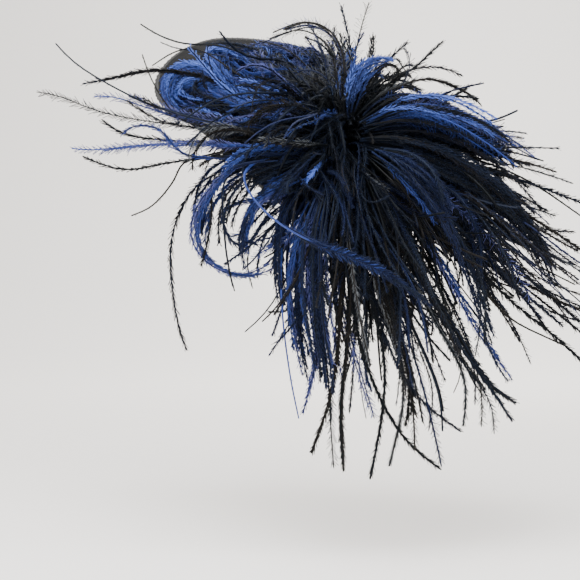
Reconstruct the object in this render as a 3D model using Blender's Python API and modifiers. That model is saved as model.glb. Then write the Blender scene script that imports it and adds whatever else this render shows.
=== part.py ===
"""Feather fascinator, tilted as it is worn on the left side, in metres with +Z up.

A domed teardrop base with a piped rim carries a comb underneath and a small pad
on its wide end. Bunches of ostrich barbs burst from the pad in two tiers and a
crest. Each bunch is one body: a bound root with six tapered locks. The origin is
the middle of the base's underside, where it sits on the hair. The narrow end
points to -X, which is forwards, and the base faces -Y and up.
"""
import math
from dataclasses import dataclass

import bmesh
import bpy
from mathutils import Vector

# Base, a teardrop of two arcs on a sphere
BASE_LENGTH = 0.148
BASE_WIDE_RADIUS = 0.048
BASE_NARROW_RADIUS = 0.028
BASE_WALL = 0.002
UNDERSIDE_RADIUS = 0.123
WIDE_ARC_POINTS = 28
NARROW_ARC_POINTS = 14
SIDE_STEPS = 8
BASE_RINGS = 7

# How the base is tilted as worn, in degrees
SEAT_ELEVATION = 27.0
SEAT_TURN = 7.0
SEAT_SPIN = 29.0

# Small clearance between pieces that touch, and the tolerance of a cut
GAP = 0.0003
CUT_TOLERANCE = 0.00003

# Rim piping
PIPING_RADIUS = 0.0013

# Comb
COMB_TEETH = 10
COMB_WIDTH = 0.048
COMB_BAR = 0.006
COMB_TOOTH = 0.028
COMB_TOOTH_STEPS = 3
COMB_TIP_SCALE = 0.45
COMB_THICKNESS = 0.0014
COMB_BAR_U = -0.040

# Pad that carries the plumes, placed on the base by its two arc lengths
PAD_U = 0.038
PAD_V = -0.006
PAD_RADIUS = 0.013
PAD_SEGMENTS = 20
PAD_RINGS = 12

# Root of a bunch
ROOT_COLUMNS = 3
ROOT_ROWS = 2
ROOT_LENGTH = 0.005
ROOT_WIDTH = 0.0045
ROOT_HEIGHT = 0.0034
ROOT_FLARE = 1.25

# Locks of a bunch
LOCK_WIDTH_SHARE = 0.041
LOCK_FLATNESS = 0.45
LOCK_AZIMUTH_STEP = 7.5
LOCK_AZIMUTH_STEP_LIMIT = 25.0
LOCK_LIFT_STEP = 12.0
LOCK_SIDE_SHORTER = 0.07
LOCK_LOWER_SHORTER = 0.04
LOCK_STEPS_PER_SECTION = 4
DROOP_POWER = 1.3
DOWN = Vector((0.0, 0.0, -1.0))

# Share of the lock's length, and the size of its section there
LOCK_SECTIONS = (
    (0.10, 0.55),
    (0.25, 0.90),
    (0.42, 1.00),
    (0.58, 0.95),
    (0.74, 0.80),
    (0.88, 0.52),
    (1.00, 0.18),
)


@dataclass(frozen=True)
class Bunch:
    """One bound bunch of barbs.

    azimuth runs anticlockwise round the pad from +X, and lift rises from the
    pad's foot, both in degrees. droop is how far the tips turn down, and hug is
    the share of that turn that goes towards the base instead.
    """

    colour: str
    azimuth: float
    lift: float
    length: float
    droop: float
    hug: float


BUNCHES = (
    # lower tier
    Bunch("blue", 4.0, 11.0, 0.122, 0.25, 0.0),
    Bunch("black", 334.0, 11.0, 0.160, 0.25, 0.0),
    Bunch("black", 304.0, 11.0, 0.168, 0.22, 0.0),
    Bunch("black", 274.0, 11.0, 0.170, 0.15, 0.0),
    Bunch("blue", 242.0, 11.0, 0.125, 0.20, 0.0),
    Bunch("blue", 211.0, 11.0, 0.100, 0.25, 0.0),
    Bunch("black", 181.0, 11.0, 0.138, 0.08, 0.5),
    Bunch("black", 156.0, 11.0, 0.100, 0.42, 0.8),
    Bunch("blue", 104.0, 11.0, 0.064, 0.50, 0.6),
    Bunch("black", 50.0, 11.0, 0.085, 0.50, 0.2),
    # upper tier
    Bunch("black", 5.0, 44.0, 0.118, 0.42, 0.0),
    Bunch("black", 335.0, 44.0, 0.150, 0.48, 0.0),
    Bunch("blue", 305.0, 44.0, 0.160, 0.51, 0.0),
    Bunch("black", 275.0, 44.0, 0.168, 0.55, 0.0),
    Bunch("blue", 244.0, 44.0, 0.140, 0.54, 0.0),
    Bunch("blue", 213.0, 44.0, 0.110, 0.54, 0.0),
    Bunch("blue", 171.0, 44.0, 0.105, 0.60, 0.4),
    Bunch("black", 123.0, 44.0, 0.070, 0.55, 0.4),
    Bunch("black", 64.0, 44.0, 0.072, 0.55, 0.2),
    # crest
    Bunch("black", 100.0, 80.0, 0.070, 0.50, 0.0),
)


@dataclass(frozen=True)
class Finish:
    """Colour, roughness and metallic value of a piece."""

    colour: tuple
    roughness: float
    metallic: float = 0.0


FELT_BLACK = Finish((0.018, 0.018, 0.020), 0.90)
SATIN_BLACK = Finish((0.015, 0.015, 0.017), 0.55)
PLASTIC_BLACK = Finish((0.020, 0.020, 0.022), 0.35)
PLUME_FINISHES = {
    "black": Finish((0.012, 0.012, 0.014), 0.60),
    "blue": Finish((0.030, 0.080, 0.420), 0.60),
}


def seat_axes():
    """The base's long axis, short axis and outward normal as it is worn."""
    elevation = math.radians(SEAT_ELEVATION)
    turn = math.radians(SEAT_TURN)
    spin = math.radians(SEAT_SPIN)
    normal = Vector((
        math.cos(elevation) * math.sin(turn),
        -math.cos(elevation) * math.cos(turn),
        math.sin(elevation),
    ))
    level = (Vector((1.0, 0.0, 0.0)) - normal * normal.x).normalized()
    rise = normal.cross(level)
    long_axis = level * math.cos(spin) - rise * math.sin(spin)
    return long_axis, normal.cross(long_axis), normal


LONG_AXIS, SHORT_AXIS, NORMAL = seat_axes()
DOME_CENTRE = -NORMAL * UNDERSIDE_RADIUS


def dome_direction(u, v):
    """Unit direction from the dome's centre to the underside's point at u, v."""
    rise = math.sqrt(UNDERSIDE_RADIUS ** 2 - u * u - v * v)
    return (LONG_AXIS * u + SHORT_AXIS * v + NORMAL * rise).normalized()


def dome_point(u, v, offset=0.0):
    """Point at u, v on the underside, or that far outside it."""
    return DOME_CENTRE + dome_direction(u, v) * (UNDERSIDE_RADIUS + offset)


PAD_AXIS = dome_direction(PAD_U, PAD_V)
PAD_FOOT = dome_point(PAD_U, PAD_V, BASE_WALL + GAP)
PAD_BACK = (Vector((1.0, 0.0, 0.0)) - PAD_AXIS * PAD_AXIS.x).normalized()
PAD_UP = PAD_AXIS.cross(PAD_BACK)


def make_material(name, finish):
    """A Principled material of the given finish."""
    material = bpy.data.materials.new(name)
    material.use_nodes = True
    shader = material.node_tree.nodes["Principled BSDF"]
    shader.inputs["Base Color"].default_value = (*finish.colour, 1.0)
    shader.inputs["Roughness"].default_value = finish.roughness
    shader.inputs["Metallic"].default_value = finish.metallic
    return material


def add_object(name, data, finish, parts):
    """An object with its own material, in the parts collection."""
    piece = bpy.data.objects.new(name, data)
    data.materials.append(make_material(name, finish))
    parts.objects.link(piece)
    return piece


def mesh_from(bm, name):
    """A mesh from a bmesh whose faces point outwards."""
    bmesh.ops.recalc_face_normals(bm, faces=bm.faces)
    mesh = bpy.data.meshes.new(name)
    bm.to_mesh(mesh)
    bm.free()
    return mesh


def teardrop():
    """Outline of the base in its own plane: two arcs and the sides that join them."""
    wide_u = BASE_LENGTH / 2.0 - BASE_WIDE_RADIUS
    narrow_u = BASE_NARROW_RADIUS - BASE_LENGTH / 2.0
    tangent = math.acos((BASE_WIDE_RADIUS - BASE_NARROW_RADIUS) / (wide_u - narrow_u))
    wide_end = math.pi - tangent
    arcs = (
        (wide_u, BASE_WIDE_RADIUS, -wide_end, wide_end, WIDE_ARC_POINTS),
        (narrow_u, BASE_NARROW_RADIUS, wide_end, 2.0 * math.pi - wide_end, NARROW_ARC_POINTS),
    )
    rounds = []
    for centre_u, radius, start, end, count in arcs:
        angles = [start + (end - start) * step / (count - 1) for step in range(count)]
        rounds.append([Vector((centre_u + radius * math.cos(a), radius * math.sin(a))) for a in angles])
    points = []
    for arc, following in zip(rounds, rounds[1:] + rounds[:1]):
        side = [arc[-1].lerp(following[0], step / SIDE_STEPS) for step in range(1, SIDE_STEPS)]
        points += arc + side
    return points


def build_base(parts):
    """The domed shell: rings drawn in from the outline, laid on the sphere, thickened."""
    bm = bmesh.new()
    outline = [bm.verts.new((u, v, 0.0)) for u, v in teardrop()]
    ring = [bm.edges.new((a, b)) for a, b in zip(outline, outline[1:] + outline[:1])]
    scale = 1.0
    for step in range(1, BASE_RINGS):
        grown = bmesh.ops.extrude_edge_only(bm, edges=ring)["geom"]
        inner = [item for item in grown if isinstance(item, bmesh.types.BMVert)]
        ring = [item for item in grown if isinstance(item, bmesh.types.BMEdge)
                and all(vert in inner for vert in item.verts)]
        next_scale = 1.0 - step / BASE_RINGS
        bmesh.ops.scale(bm, verts=inner, vec=(next_scale / scale,) * 3)
        scale = next_scale
    middle = bmesh.ops.contextual_create(bm, geom=ring)["faces"]
    bmesh.ops.poke(bm, faces=middle)
    for vert in bm.verts:
        vert.co = dome_point(vert.co.x, vert.co.y)
    mesh = mesh_from(bm, "base")
    if mesh.polygons[0].normal.dot(NORMAL) < 0.0:
        mesh.flip_normals()
    base = add_object("base", mesh, FELT_BLACK, parts)
    wall = base.modifiers.new("wall", "SOLIDIFY")
    wall.thickness = BASE_WALL
    wall.offset = 1.0
    return base


def build_piping(parts):
    """The bound edge: one closed round tube just outside the base's rim."""
    curve = bpy.data.curves.new("rim_piping", "CURVE")
    curve.dimensions = "3D"
    curve.bevel_depth = PIPING_RADIUS
    curve.bevel_resolution = 2
    rim = [dome_point(u, v, BASE_WALL / 2.0) for u, v in teardrop()]
    spline = curve.splines.new("POLY")
    spline.points.add(len(rim) - 1)
    for index, point in enumerate(spline.points):
        along = rim[(index + 1) % len(rim)] - rim[index - 1]
        outward = along.cross(rim[index] - DOME_CENTRE).normalized()
        place = rim[index] + outward * (PIPING_RADIUS + GAP)
        point.co = (*place, 1.0)
    spline.use_cyclic_u = True
    return add_object("rim_piping", curve, SATIN_BLACK, parts)


def build_comb(parts):
    """The comb: a bar of equal cells, a tooth drawn from every other one."""
    cells = 2 * COMB_TEETH - 1
    pitch = COMB_WIDTH / cells
    bm = bmesh.new()
    start = [bm.verts.new((0.0, pitch * index - COMB_WIDTH / 2.0, 0.0)) for index in range(cells + 1)]
    back = [bm.edges.new((a, b)) for a, b in zip(start, start[1:])]
    bar = bmesh.ops.extrude_edge_only(bm, edges=back)["geom"]
    front = [item for item in bar if isinstance(item, bmesh.types.BMVert)]
    bmesh.ops.translate(bm, verts=front, vec=(COMB_BAR, 0.0, 0.0))
    edges = [item for item in bar if isinstance(item, bmesh.types.BMEdge)
             and all(vert in front for vert in item.verts)]
    edges.sort(key=lambda edge: edge.verts[0].co.y + edge.verts[1].co.y)
    for edge in edges[::2]:
        tip = edge
        for _ in range(COMB_TOOTH_STEPS):
            grown = bmesh.ops.extrude_edge_only(bm, edges=[tip])["geom"]
            verts = [item for item in grown if isinstance(item, bmesh.types.BMVert)]
            bmesh.ops.translate(bm, verts=verts, vec=(COMB_TOOTH / COMB_TOOTH_STEPS, 0.0, 0.0))
            tip = next(item for item in grown if isinstance(item, bmesh.types.BMEdge)
                       and all(vert in verts for vert in item.verts))
        middle = (verts[0].co + verts[1].co) / 2.0
        for vert in verts:
            vert.co = middle.lerp(vert.co, COMB_TIP_SCALE)
    for vert in bm.verts:
        vert.co = dome_point(COMB_BAR_U + vert.co.x, vert.co.y, -GAP)
    mesh = mesh_from(bm, "comb")
    if mesh.polygons[0].normal.dot(NORMAL) > 0.0:
        mesh.flip_normals()
    comb = add_object("comb", mesh, PLASTIC_BLACK, parts)
    wall = comb.modifiers.new("wall", "SOLIDIFY")
    wall.thickness = COMB_THICKNESS
    wall.offset = 1.0
    return comb


def build_pad(parts):
    """The pad: the outer half of a ball, with its flat foot on the base."""
    bm = bmesh.new()
    bmesh.ops.create_uvsphere(bm, u_segments=PAD_SEGMENTS, v_segments=PAD_RINGS, radius=PAD_RADIUS)
    turn = PAD_AXIS.to_track_quat("Z", "Y")
    bmesh.ops.rotate(bm, verts=bm.verts, cent=(0.0, 0.0, 0.0), matrix=turn.to_matrix())
    bmesh.ops.translate(bm, verts=bm.verts, vec=PAD_FOOT)
    cut = bmesh.ops.bisect_plane(
        bm, geom=bm.verts[:] + bm.edges[:] + bm.faces[:], dist=CUT_TOLERANCE,
        plane_co=PAD_FOOT, plane_no=PAD_AXIS, clear_inner=True)["geom_cut"]
    rim = [item for item in cut if isinstance(item, bmesh.types.BMEdge)]
    bmesh.ops.contextual_create(bm, geom=rim)
    return add_object("feather_pad", mesh_from(bm, "feather_pad"), FELT_BLACK, parts)


def aim(azimuth, lift):
    """Unit direction away from the pad at an azimuth and a lift in degrees."""
    azimuth = math.radians(azimuth)
    lift = math.radians(lift)
    outward = PAD_BACK * math.cos(azimuth) + PAD_UP * math.sin(azimuth)
    return outward * math.cos(lift) + PAD_AXIS * math.sin(lift)


def lock_path(start, heading, length, bunch):
    """Points and directions of a lock's middle line at each of its sections.

    The line leaves along its heading and turns down, or towards the base, more
    and more towards its tip.
    """
    target = (DOWN * (1.0 - bunch.hug) - PAD_AXIS * bunch.hug).normalized()
    place = start.copy()
    done = 0.0
    stations = []
    for share, size in LOCK_SECTIONS:
        step = (share - done) / LOCK_STEPS_PER_SECTION
        for _ in range(LOCK_STEPS_PER_SECTION):
            turned = bunch.droop * (done + step / 2.0) ** DROOP_POWER
            direction = (heading * (1.0 - turned) + target * turned).normalized()
            place = place + direction * (length * step)
            done += step
        stations.append((place, direction, size))
    return stations


def grow_lock(bm, face, side, start, heading, length, bunch):
    """Draw one tapered lock out of a face of the root, section by section."""
    half_width = bunch.length * LOCK_WIDTH_SHARE / 2.0
    half_thickness = half_width * LOCK_FLATNESS
    for place, direction, size in lock_path(start, heading, length, bunch):
        rise = direction.cross(side).normalized()
        side_next = rise.cross(direction).normalized()
        old_middle = face.calc_center_median()
        face = bmesh.ops.extrude_discrete_faces(bm, faces=[face])["faces"][0]
        for vert in face.verts:
            offset = vert.co - old_middle
            across = math.copysign(half_width * size, offset.dot(side))
            upward = math.copysign(half_thickness * size, offset.dot(rise))
            vert.co = place + side_next * across + rise * upward
        side = side_next


def build_bunch(name, bunch, parts):
    """A bunch: a root block flared from the pad, with a lock out of each outer face."""
    forward = aim(bunch.azimuth, bunch.lift)
    side = aim(bunch.azimuth + 90.0, 0.0)
    rise = forward.cross(side)
    inner = PAD_FOOT + forward * (PAD_RADIUS + GAP)
    bm = bmesh.new()
    bmesh.ops.create_grid(bm, x_segments=ROOT_COLUMNS, y_segments=ROOT_ROWS, size=0.5)
    for vert in bm.verts:
        vert.co = inner + side * (vert.co.x * ROOT_WIDTH) + rise * (vert.co.y * ROOT_HEIGHT)
    grown = bmesh.ops.extrude_face_region(bm, geom=bm.faces[:], use_keep_orig=True)["geom"]
    outer = [item for item in grown if isinstance(item, bmesh.types.BMVert)]
    for vert in outer:
        vert.co = inner + forward * ROOT_LENGTH + (vert.co - inner) * ROOT_FLARE
    faces = [item for item in grown if isinstance(item, bmesh.types.BMFace)]
    azimuth_step = LOCK_AZIMUTH_STEP / math.cos(math.radians(bunch.lift))
    azimuth_step = min(azimuth_step, LOCK_AZIMUTH_STEP_LIMIT)
    for face in faces:
        middle = face.calc_center_median()
        offset = middle - inner
        column = round(offset.dot(side) / (ROOT_WIDTH * ROOT_FLARE / ROOT_COLUMNS))
        row = math.copysign(0.5, offset.dot(rise))
        heading = aim(bunch.azimuth + column * azimuth_step, bunch.lift + row * LOCK_LIFT_STEP)
        shorter = abs(column) * LOCK_SIDE_SHORTER + (LOCK_LOWER_SHORTER if row < 0.0 else 0.0)
        grow_lock(bm, face, side, middle, heading, bunch.length * (1.0 - shorter), bunch)
    return add_object(name, mesh_from(bm, name), PLUME_FINISHES[bunch.colour], parts)


def build_plumes(parts):
    """Every bunch, numbered by colour in the order of the table."""
    counts = {"black": 0, "blue": 0}
    for bunch in BUNCHES:
        counts[bunch.colour] += 1
        build_bunch(f"{bunch.colour}_plume_{counts[bunch.colour]}", bunch, parts)


def main():
    """Clear the scene and build the fascinator."""
    for old in list(bpy.data.objects):
        bpy.data.objects.remove(old, do_unlink=True)
    parts = bpy.data.collections.new("fascinator")
    bpy.context.scene.collection.children.link(parts)
    build_base(parts)
    build_piping(parts)
    build_comb(parts)
    build_pad(parts)
    build_plumes(parts)


main()
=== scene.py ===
"""Looks of the feather fascinator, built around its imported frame, in metres with +Z up.

The domed base, its piping, the comb and the pad keep their solids and are
finished here. Each bunch of plumes is replaced by a piece of real barbs that
follows the bunch's own rule. Loose streams and single barbs lie over them where
the photograph shows them.
"""

import logging
import math
from collections.abc import Sequence
from dataclasses import dataclass
from enum import Enum

import bmesh
import bpy
import numpy as np
from mathutils import Matrix, Vector


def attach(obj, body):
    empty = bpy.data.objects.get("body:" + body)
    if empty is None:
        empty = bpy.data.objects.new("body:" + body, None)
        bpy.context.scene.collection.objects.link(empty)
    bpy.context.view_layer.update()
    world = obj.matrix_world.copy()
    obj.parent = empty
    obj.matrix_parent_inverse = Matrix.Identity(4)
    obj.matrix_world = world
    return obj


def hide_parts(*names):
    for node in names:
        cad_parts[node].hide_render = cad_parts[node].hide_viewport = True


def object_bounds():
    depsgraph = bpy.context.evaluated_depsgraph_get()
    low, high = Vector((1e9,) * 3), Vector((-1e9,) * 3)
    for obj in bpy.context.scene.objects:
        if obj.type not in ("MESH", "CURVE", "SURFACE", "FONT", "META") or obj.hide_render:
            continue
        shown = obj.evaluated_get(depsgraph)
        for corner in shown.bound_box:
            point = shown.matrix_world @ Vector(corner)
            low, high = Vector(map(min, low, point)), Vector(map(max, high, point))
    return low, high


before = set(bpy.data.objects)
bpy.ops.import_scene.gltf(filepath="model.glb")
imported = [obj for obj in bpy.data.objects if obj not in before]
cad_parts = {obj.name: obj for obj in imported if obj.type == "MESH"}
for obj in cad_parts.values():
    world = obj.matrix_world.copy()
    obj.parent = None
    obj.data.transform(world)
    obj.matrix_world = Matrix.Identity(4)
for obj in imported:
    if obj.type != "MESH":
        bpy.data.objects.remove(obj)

LOG = logging.getLogger("fascinator")
BODY = "root"
UV_NAME = "OFBake"
MM = 0.001
# Distance from the pad that the map's second axis spans
MAP_REACH = 0.230
# Length of one wave of the Wave Texture at scale 1
WAVE_LENGTH = math.pi / 10.0
Spot = tuple[float, float, float]
Span = tuple[float, float]


class Tone(Enum):
    """Columns of the feather palette."""

    JET = 0
    BROWN_BLACK = 1
    BLUE_BLACK = 2
    GREY_GLINT = 3
    NAVY = 4
    ROYAL = 5
    BRIGHT = 6
    VIOLET = 7


PALETTE = {
    Tone.JET: (0.0019, 0.0030, 0.0048),
    Tone.BROWN_BLACK: (0.0072, 0.0062, 0.0056),
    Tone.BLUE_BLACK: (0.0036, 0.0062, 0.0145),
    # Painted glint: the pale grey that light puts on black barbs, given as a colour
    Tone.GREY_GLINT: (0.0850, 0.0920, 0.1010),
    Tone.NAVY: (0.0050, 0.0085, 0.0330),
    Tone.ROYAL: (0.0230, 0.0420, 0.1800),
    Tone.BRIGHT: (0.0780, 0.1350, 0.4700),
    Tone.VIOLET: (0.0750, 0.0860, 0.2500),
}


@dataclass(frozen=True)
class ToneMix:
    """Shares of the tones, for the shafts and for their fringes."""

    shafts: tuple[tuple[Tone, float], ...]
    fringes: tuple[tuple[Tone, float], ...]

    @staticmethod
    def draw(shares: tuple[tuple[Tone, float], ...], count: int, rng: np.random.Generator) -> np.ndarray:
        """Draw a palette column for each barb.

        Args:
            shares: The tones and how often each comes up.
            count: How many columns to draw.
            rng: The piece's random numbers.

        Returns:
            One column number for each barb.
        """
        weights = np.array([share for _, share in shares])
        columns = np.array([tone.value for tone, _ in shares])
        return rng.choice(columns, size=count, p=weights / weights.sum())


# The small grey glint share paints a few glints among the black fringes
BLACK_MIX = ToneMix(
    shafts=((Tone.JET, 0.50), (Tone.BROWN_BLACK, 0.26), (Tone.BLUE_BLACK, 0.24)),
    fringes=((Tone.JET, 0.44), (Tone.BROWN_BLACK, 0.22), (Tone.BLUE_BLACK, 0.31), (Tone.GREY_GLINT, 0.03)),
)
BLUE_MIX = ToneMix(
    shafts=((Tone.NAVY, 0.55), (Tone.BLUE_BLACK, 0.45)),
    fringes=((Tone.BLUE_BLACK, 0.20), (Tone.NAVY, 0.36), (Tone.ROYAL, 0.34), (Tone.VIOLET, 0.10)),
)
DEEP_MIX = ToneMix(
    shafts=((Tone.NAVY, 0.30), (Tone.JET, 0.70)),
    fringes=((Tone.BLUE_BLACK, 0.52), (Tone.NAVY, 0.48)),
)
BRIGHT_MIX = ToneMix(
    shafts=((Tone.ROYAL, 0.50), (Tone.BRIGHT, 0.05), (Tone.NAVY, 0.45)),
    fringes=((Tone.ROYAL, 0.34), (Tone.BRIGHT, 0.56), (Tone.VIOLET, 0.10)),
)
VIOLET_MIX = ToneMix(
    shafts=((Tone.ROYAL, 0.25), (Tone.NAVY, 0.75)),
    fringes=((Tone.VIOLET, 0.65), (Tone.ROYAL, 0.35)),
)
NAVY_MIX = ToneMix(
    shafts=((Tone.NAVY, 0.40), (Tone.BLUE_BLACK, 0.60)),
    fringes=((Tone.NAVY, 0.60), (Tone.BLUE_BLACK, 0.37), (Tone.ROYAL, 0.03)),
)
# Painted glare: fringes mostly of painted glint grey for the fuzz at the top where the light falls, with some
# violet barbules
PAINTED_GLARE_MIX = ToneMix(
    shafts=((Tone.BROWN_BLACK, 0.60), (Tone.NAVY, 0.40)),
    fringes=((Tone.GREY_GLINT, 0.75), (Tone.VIOLET, 0.25)),
)
PALE_MIX = ToneMix(
    shafts=((Tone.ROYAL, 1.0),),
    fringes=((Tone.VIOLET, 0.45), (Tone.ROYAL, 0.55)),
)
ROYAL_MIX = ToneMix(
    shafts=((Tone.NAVY, 1.0),),
    fringes=((Tone.ROYAL, 0.30), (Tone.NAVY, 0.70)),
)
# Black barbs whose fringes carry painted grey glints
PAINTED_GLINT_MIX = ToneMix(
    shafts=((Tone.BROWN_BLACK, 0.50), (Tone.JET, 0.50)),
    fringes=((Tone.GREY_GLINT, 0.45), (Tone.BROWN_BLACK, 0.55)),
)


@dataclass(frozen=True)
class Fringe:
    """How the barbules stand along a barb.

    pitch and length are in metres, sweep and scatter are angles in radians, and
    start is the share of the barb that stays bare.
    """

    pitch: float
    length: float
    sweep: float
    scatter: float
    start: float
    width: float


class FringeKind(Enum):
    """The kinds of fringe that the photograph shows."""

    BARE = Fringe(pitch=0.0024, length=0.0018, sweep=0.34, scatter=0.15, start=0.35, width=0.00034)
    FUR = Fringe(pitch=0.0009, length=0.0042, sweep=0.31, scatter=0.12, start=0.14, width=0.00050)
    BRUSH = Fringe(pitch=0.0006, length=0.0046, sweep=0.33, scatter=0.12, start=0.28, width=0.00052)
    HERRINGBONE = Fringe(pitch=0.0011, length=0.0046, sweep=0.60, scatter=0.15, start=0.20, width=0.00044)
    DOWN = Fringe(pitch=0.0018, length=0.0054, sweep=0.48, scatter=0.25, start=0.02, width=0.00034)
    FUZZ = Fringe(pitch=0.0013, length=0.0044, sweep=0.80, scatter=0.35, start=0.15, width=0.00028)


class Socket:
    """An output socket that takes part in Python expressions."""

    def __init__(self, board: "Board", socket: bpy.types.NodeSocket) -> None:
        """Keep the socket and the board that its nodes are added to."""
        self.board = board
        self.socket = socket

    def other(self, name: str) -> "Socket":
        """Another output of the same node."""
        return Socket(self.board, self.socket.node.outputs[name])

    def maths(self, operation: str, first: "Socket | float", second: "Socket | float") -> "Socket":
        """Add one Math node.

        Args:
            operation: The Math node's operation.
            first: Its first value.
            second: Its second value.

        Returns:
            The node's result.
        """
        return self.board.node("ShaderNodeMath", {"operation": operation}, {0: first, 1: second})

    def __add__(self, other: "Socket | float") -> "Socket":
        """Sum."""
        return self.maths("ADD", self, other)

    def __radd__(self, other: "Socket | float") -> "Socket":
        """Sum with a number on the left."""
        return self.maths("ADD", other, self)

    def __sub__(self, other: "Socket | float") -> "Socket":
        """Difference."""
        return self.maths("SUBTRACT", self, other)

    def __rsub__(self, other: "Socket | float") -> "Socket":
        """Difference from a number on the left."""
        return self.maths("SUBTRACT", other, self)

    def __mul__(self, other: "Socket | float") -> "Socket":
        """Product."""
        return self.maths("MULTIPLY", self, other)

    def __rmul__(self, other: "Socket | float") -> "Socket":
        """Product with a number on the left."""
        return self.maths("MULTIPLY", other, self)


class Board:
    """The node tree of one material."""

    def __init__(self, name: str) -> None:
        """Make an empty material of that name."""
        self.material = bpy.data.materials.new(name)
        self.material.use_nodes = True
        self.tree = self.material.node_tree
        self.tree.nodes.clear()

    def node(
        self,
        kind: str,
        settings: dict[str, object] | None = None,
        values: dict[str | int, object] | None = None,
    ) -> Socket:
        """Add one node.

        Args:
            kind: The node's type.
            settings: Its own settings, set first. A ramp's stops are given as
                "stops", pairs of a place and a colour.
            values: Numbers, colours or sockets for its inputs.

        Returns:
            The node's first output.
        """
        node = self.tree.nodes.new(kind)
        for name, value in (settings or {}).items():
            if name == "stops":
                self.set_stops(node.color_ramp, value)
            elif name == "interpolation":
                node.color_ramp.interpolation = value
            else:
                setattr(node, name, value)
        for name, value in (values or {}).items():
            if isinstance(value, Socket):
                self.tree.links.new(value.socket, node.inputs[name])
            else:
                node.inputs[name].default_value = value
        first = next(socket for socket in node.outputs if socket.enabled) if node.outputs else None
        return Socket(self, first)

    @staticmethod
    def set_stops(ramp: bpy.types.ColorRamp, stops: Sequence[tuple[float, Sequence[float]]]) -> None:
        """Give a colour ramp its stops.

        Args:
            ramp: The ramp, fresh from its node with two stops.
            stops: Pairs of a place and a colour, in rising order.
        """
        while len(ramp.elements) > 1:
            ramp.elements.remove(ramp.elements[-1])
        for index, (place, colour) in enumerate(stops):
            element = ramp.elements[0] if index == 0 else ramp.elements.new(place)
            element.position = place
            element.color = (*colour, 1.0)

    def noise(self, place: Socket, scale: float, detail: float) -> Socket:
        """Soft noise from 0 to 1.

        Args:
            place: The vector that it is read at.
            scale: Its scale.
            detail: How many finer layers it has.

        Returns:
            The noise.
        """
        return self.node("ShaderNodeTexNoise", {}, {"Vector": place, "Scale": scale, "Detail": detail})

    def mix(self, factor: Socket | float, first: object, second: object) -> Socket:
        """Mix two colours.

        Args:
            factor: How much of the second colour.
            first: The first colour.
            second: The second colour.

        Returns:
            The mixed colour.
        """
        node = self.tree.nodes.new("ShaderNodeMix")
        node.data_type = "RGBA"
        named = {"Factor": factor, "A": first, "B": second}
        for name, value in named.items():
            kind = "VALUE" if name == "Factor" else "RGBA"
            socket = next(item for item in node.inputs if item.name == name and item.type == kind)
            if isinstance(value, Socket):
                self.tree.links.new(value.socket, socket)
            elif name == "Factor":
                socket.default_value = value
            else:
                socket.default_value = (*value, 1.0)
        return Socket(self, next(item for item in node.outputs if item.type == "RGBA"))

    def scaled(self, vector: Socket, scale: Spot, turn: Spot = (0.0, 0.0, 0.0)) -> Socket:
        """A vector turned by one Mapping node and then scaled by another.

        Args:
            vector: The coordinates.
            scale: The factor along each turned axis.
            turn: The turn as three angles in radians.

        Returns:
            The changed coordinates.
        """
        turned = self.node("ShaderNodeMapping", {}, {"Vector": vector, "Rotation": turn})
        return self.node("ShaderNodeMapping", {}, {"Vector": turned, "Scale": scale})

    def finish(self, shader: Socket) -> bpy.types.Material:
        """Send the shader to the output.

        Args:
            shader: The finished shader.

        Returns:
            The material.
        """
        self.node("ShaderNodeOutputMaterial", {}, {"Surface": shader})
        return self.material


@dataclass(frozen=True)
class FeatherFinish:
    """Dyed feather: its colour comes from the palette column and the place along the barb. Near the pad it
    darkens, partly as the barbs' own dark roots and partly as painted shade in the dense middle.
    """

    name: str
    sheen_tint: Spot
    sheen: float = 0.02
    sheen_roughness: float = 0.4
    roughness: float = 0.42
    roughness_reach: float = 0.22
    gloss: float = 0.10
    # The dark colour near the pad, partly the barbs' own roots and partly painted shade, and the distances
    # where it gives way to the dye
    root_colour_and_shade: Spot = (0.0040, 0.0056, 0.0080)
    root_shade_until: float = 0.026
    dyed_unshaded_from: float = 0.068
    patch_scale: Spot = (90.0, 9.0, 1.0)
    grain_scale: Spot = (220.0, 160.0, 1.0)
    shade_least: float = 0.45
    shade_reach: float = 1.1

    def make(self) -> bpy.types.Material:
        """Build the material.

        Returns:
            The feather material.
        """
        board = Board(self.name)
        place = board.node("ShaderNodeUVMap", {"uv_map": UV_NAME})
        axes = board.node("ShaderNodeSeparateXYZ", {}, {"Vector": place})
        along = axes.other("Y")
        stops = [(tone.value / len(Tone), PALETTE[tone]) for tone in Tone]
        dye = board.node("ShaderNodeValToRGB", {"interpolation": "CONSTANT", "stops": stops}, {"Fac": axes})
        patch = board.noise(board.scaled(place, self.patch_scale), 1.0, 2.0)
        grain = board.noise(board.scaled(place, self.grain_scale), 1.0, 1.0)
        # Darker towards the pad: partly the barbs' own roots, partly painted shade of the dense middle
        depth = board.node("ShaderNodeMapRange", {"interpolation_type": "SMOOTHSTEP"}, {
            "Value": along, "From Min": self.root_shade_until / MAP_REACH, "From Max": self.dyed_unshaded_from / MAP_REACH,
            "To Min": 1.0, "To Max": 0.0})
        shade = board.node("ShaderNodeHueSaturation", {}, {
            "Color": board.mix(depth, dye, self.root_colour_and_shade),
            "Value": self.shade_least + self.shade_reach * patch})
        shader = board.node("ShaderNodeBsdfPrincipled", {}, {
            "Base Color": shade,
            "Roughness": self.roughness + self.roughness_reach * grain,
            "Specular IOR Level": self.gloss,
            "Sheen Weight": self.sheen,
            "Sheen Roughness": self.sheen_roughness,
            "Sheen Tint": (*self.sheen_tint, 1.0),
        })
        return board.finish(shader)


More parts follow.
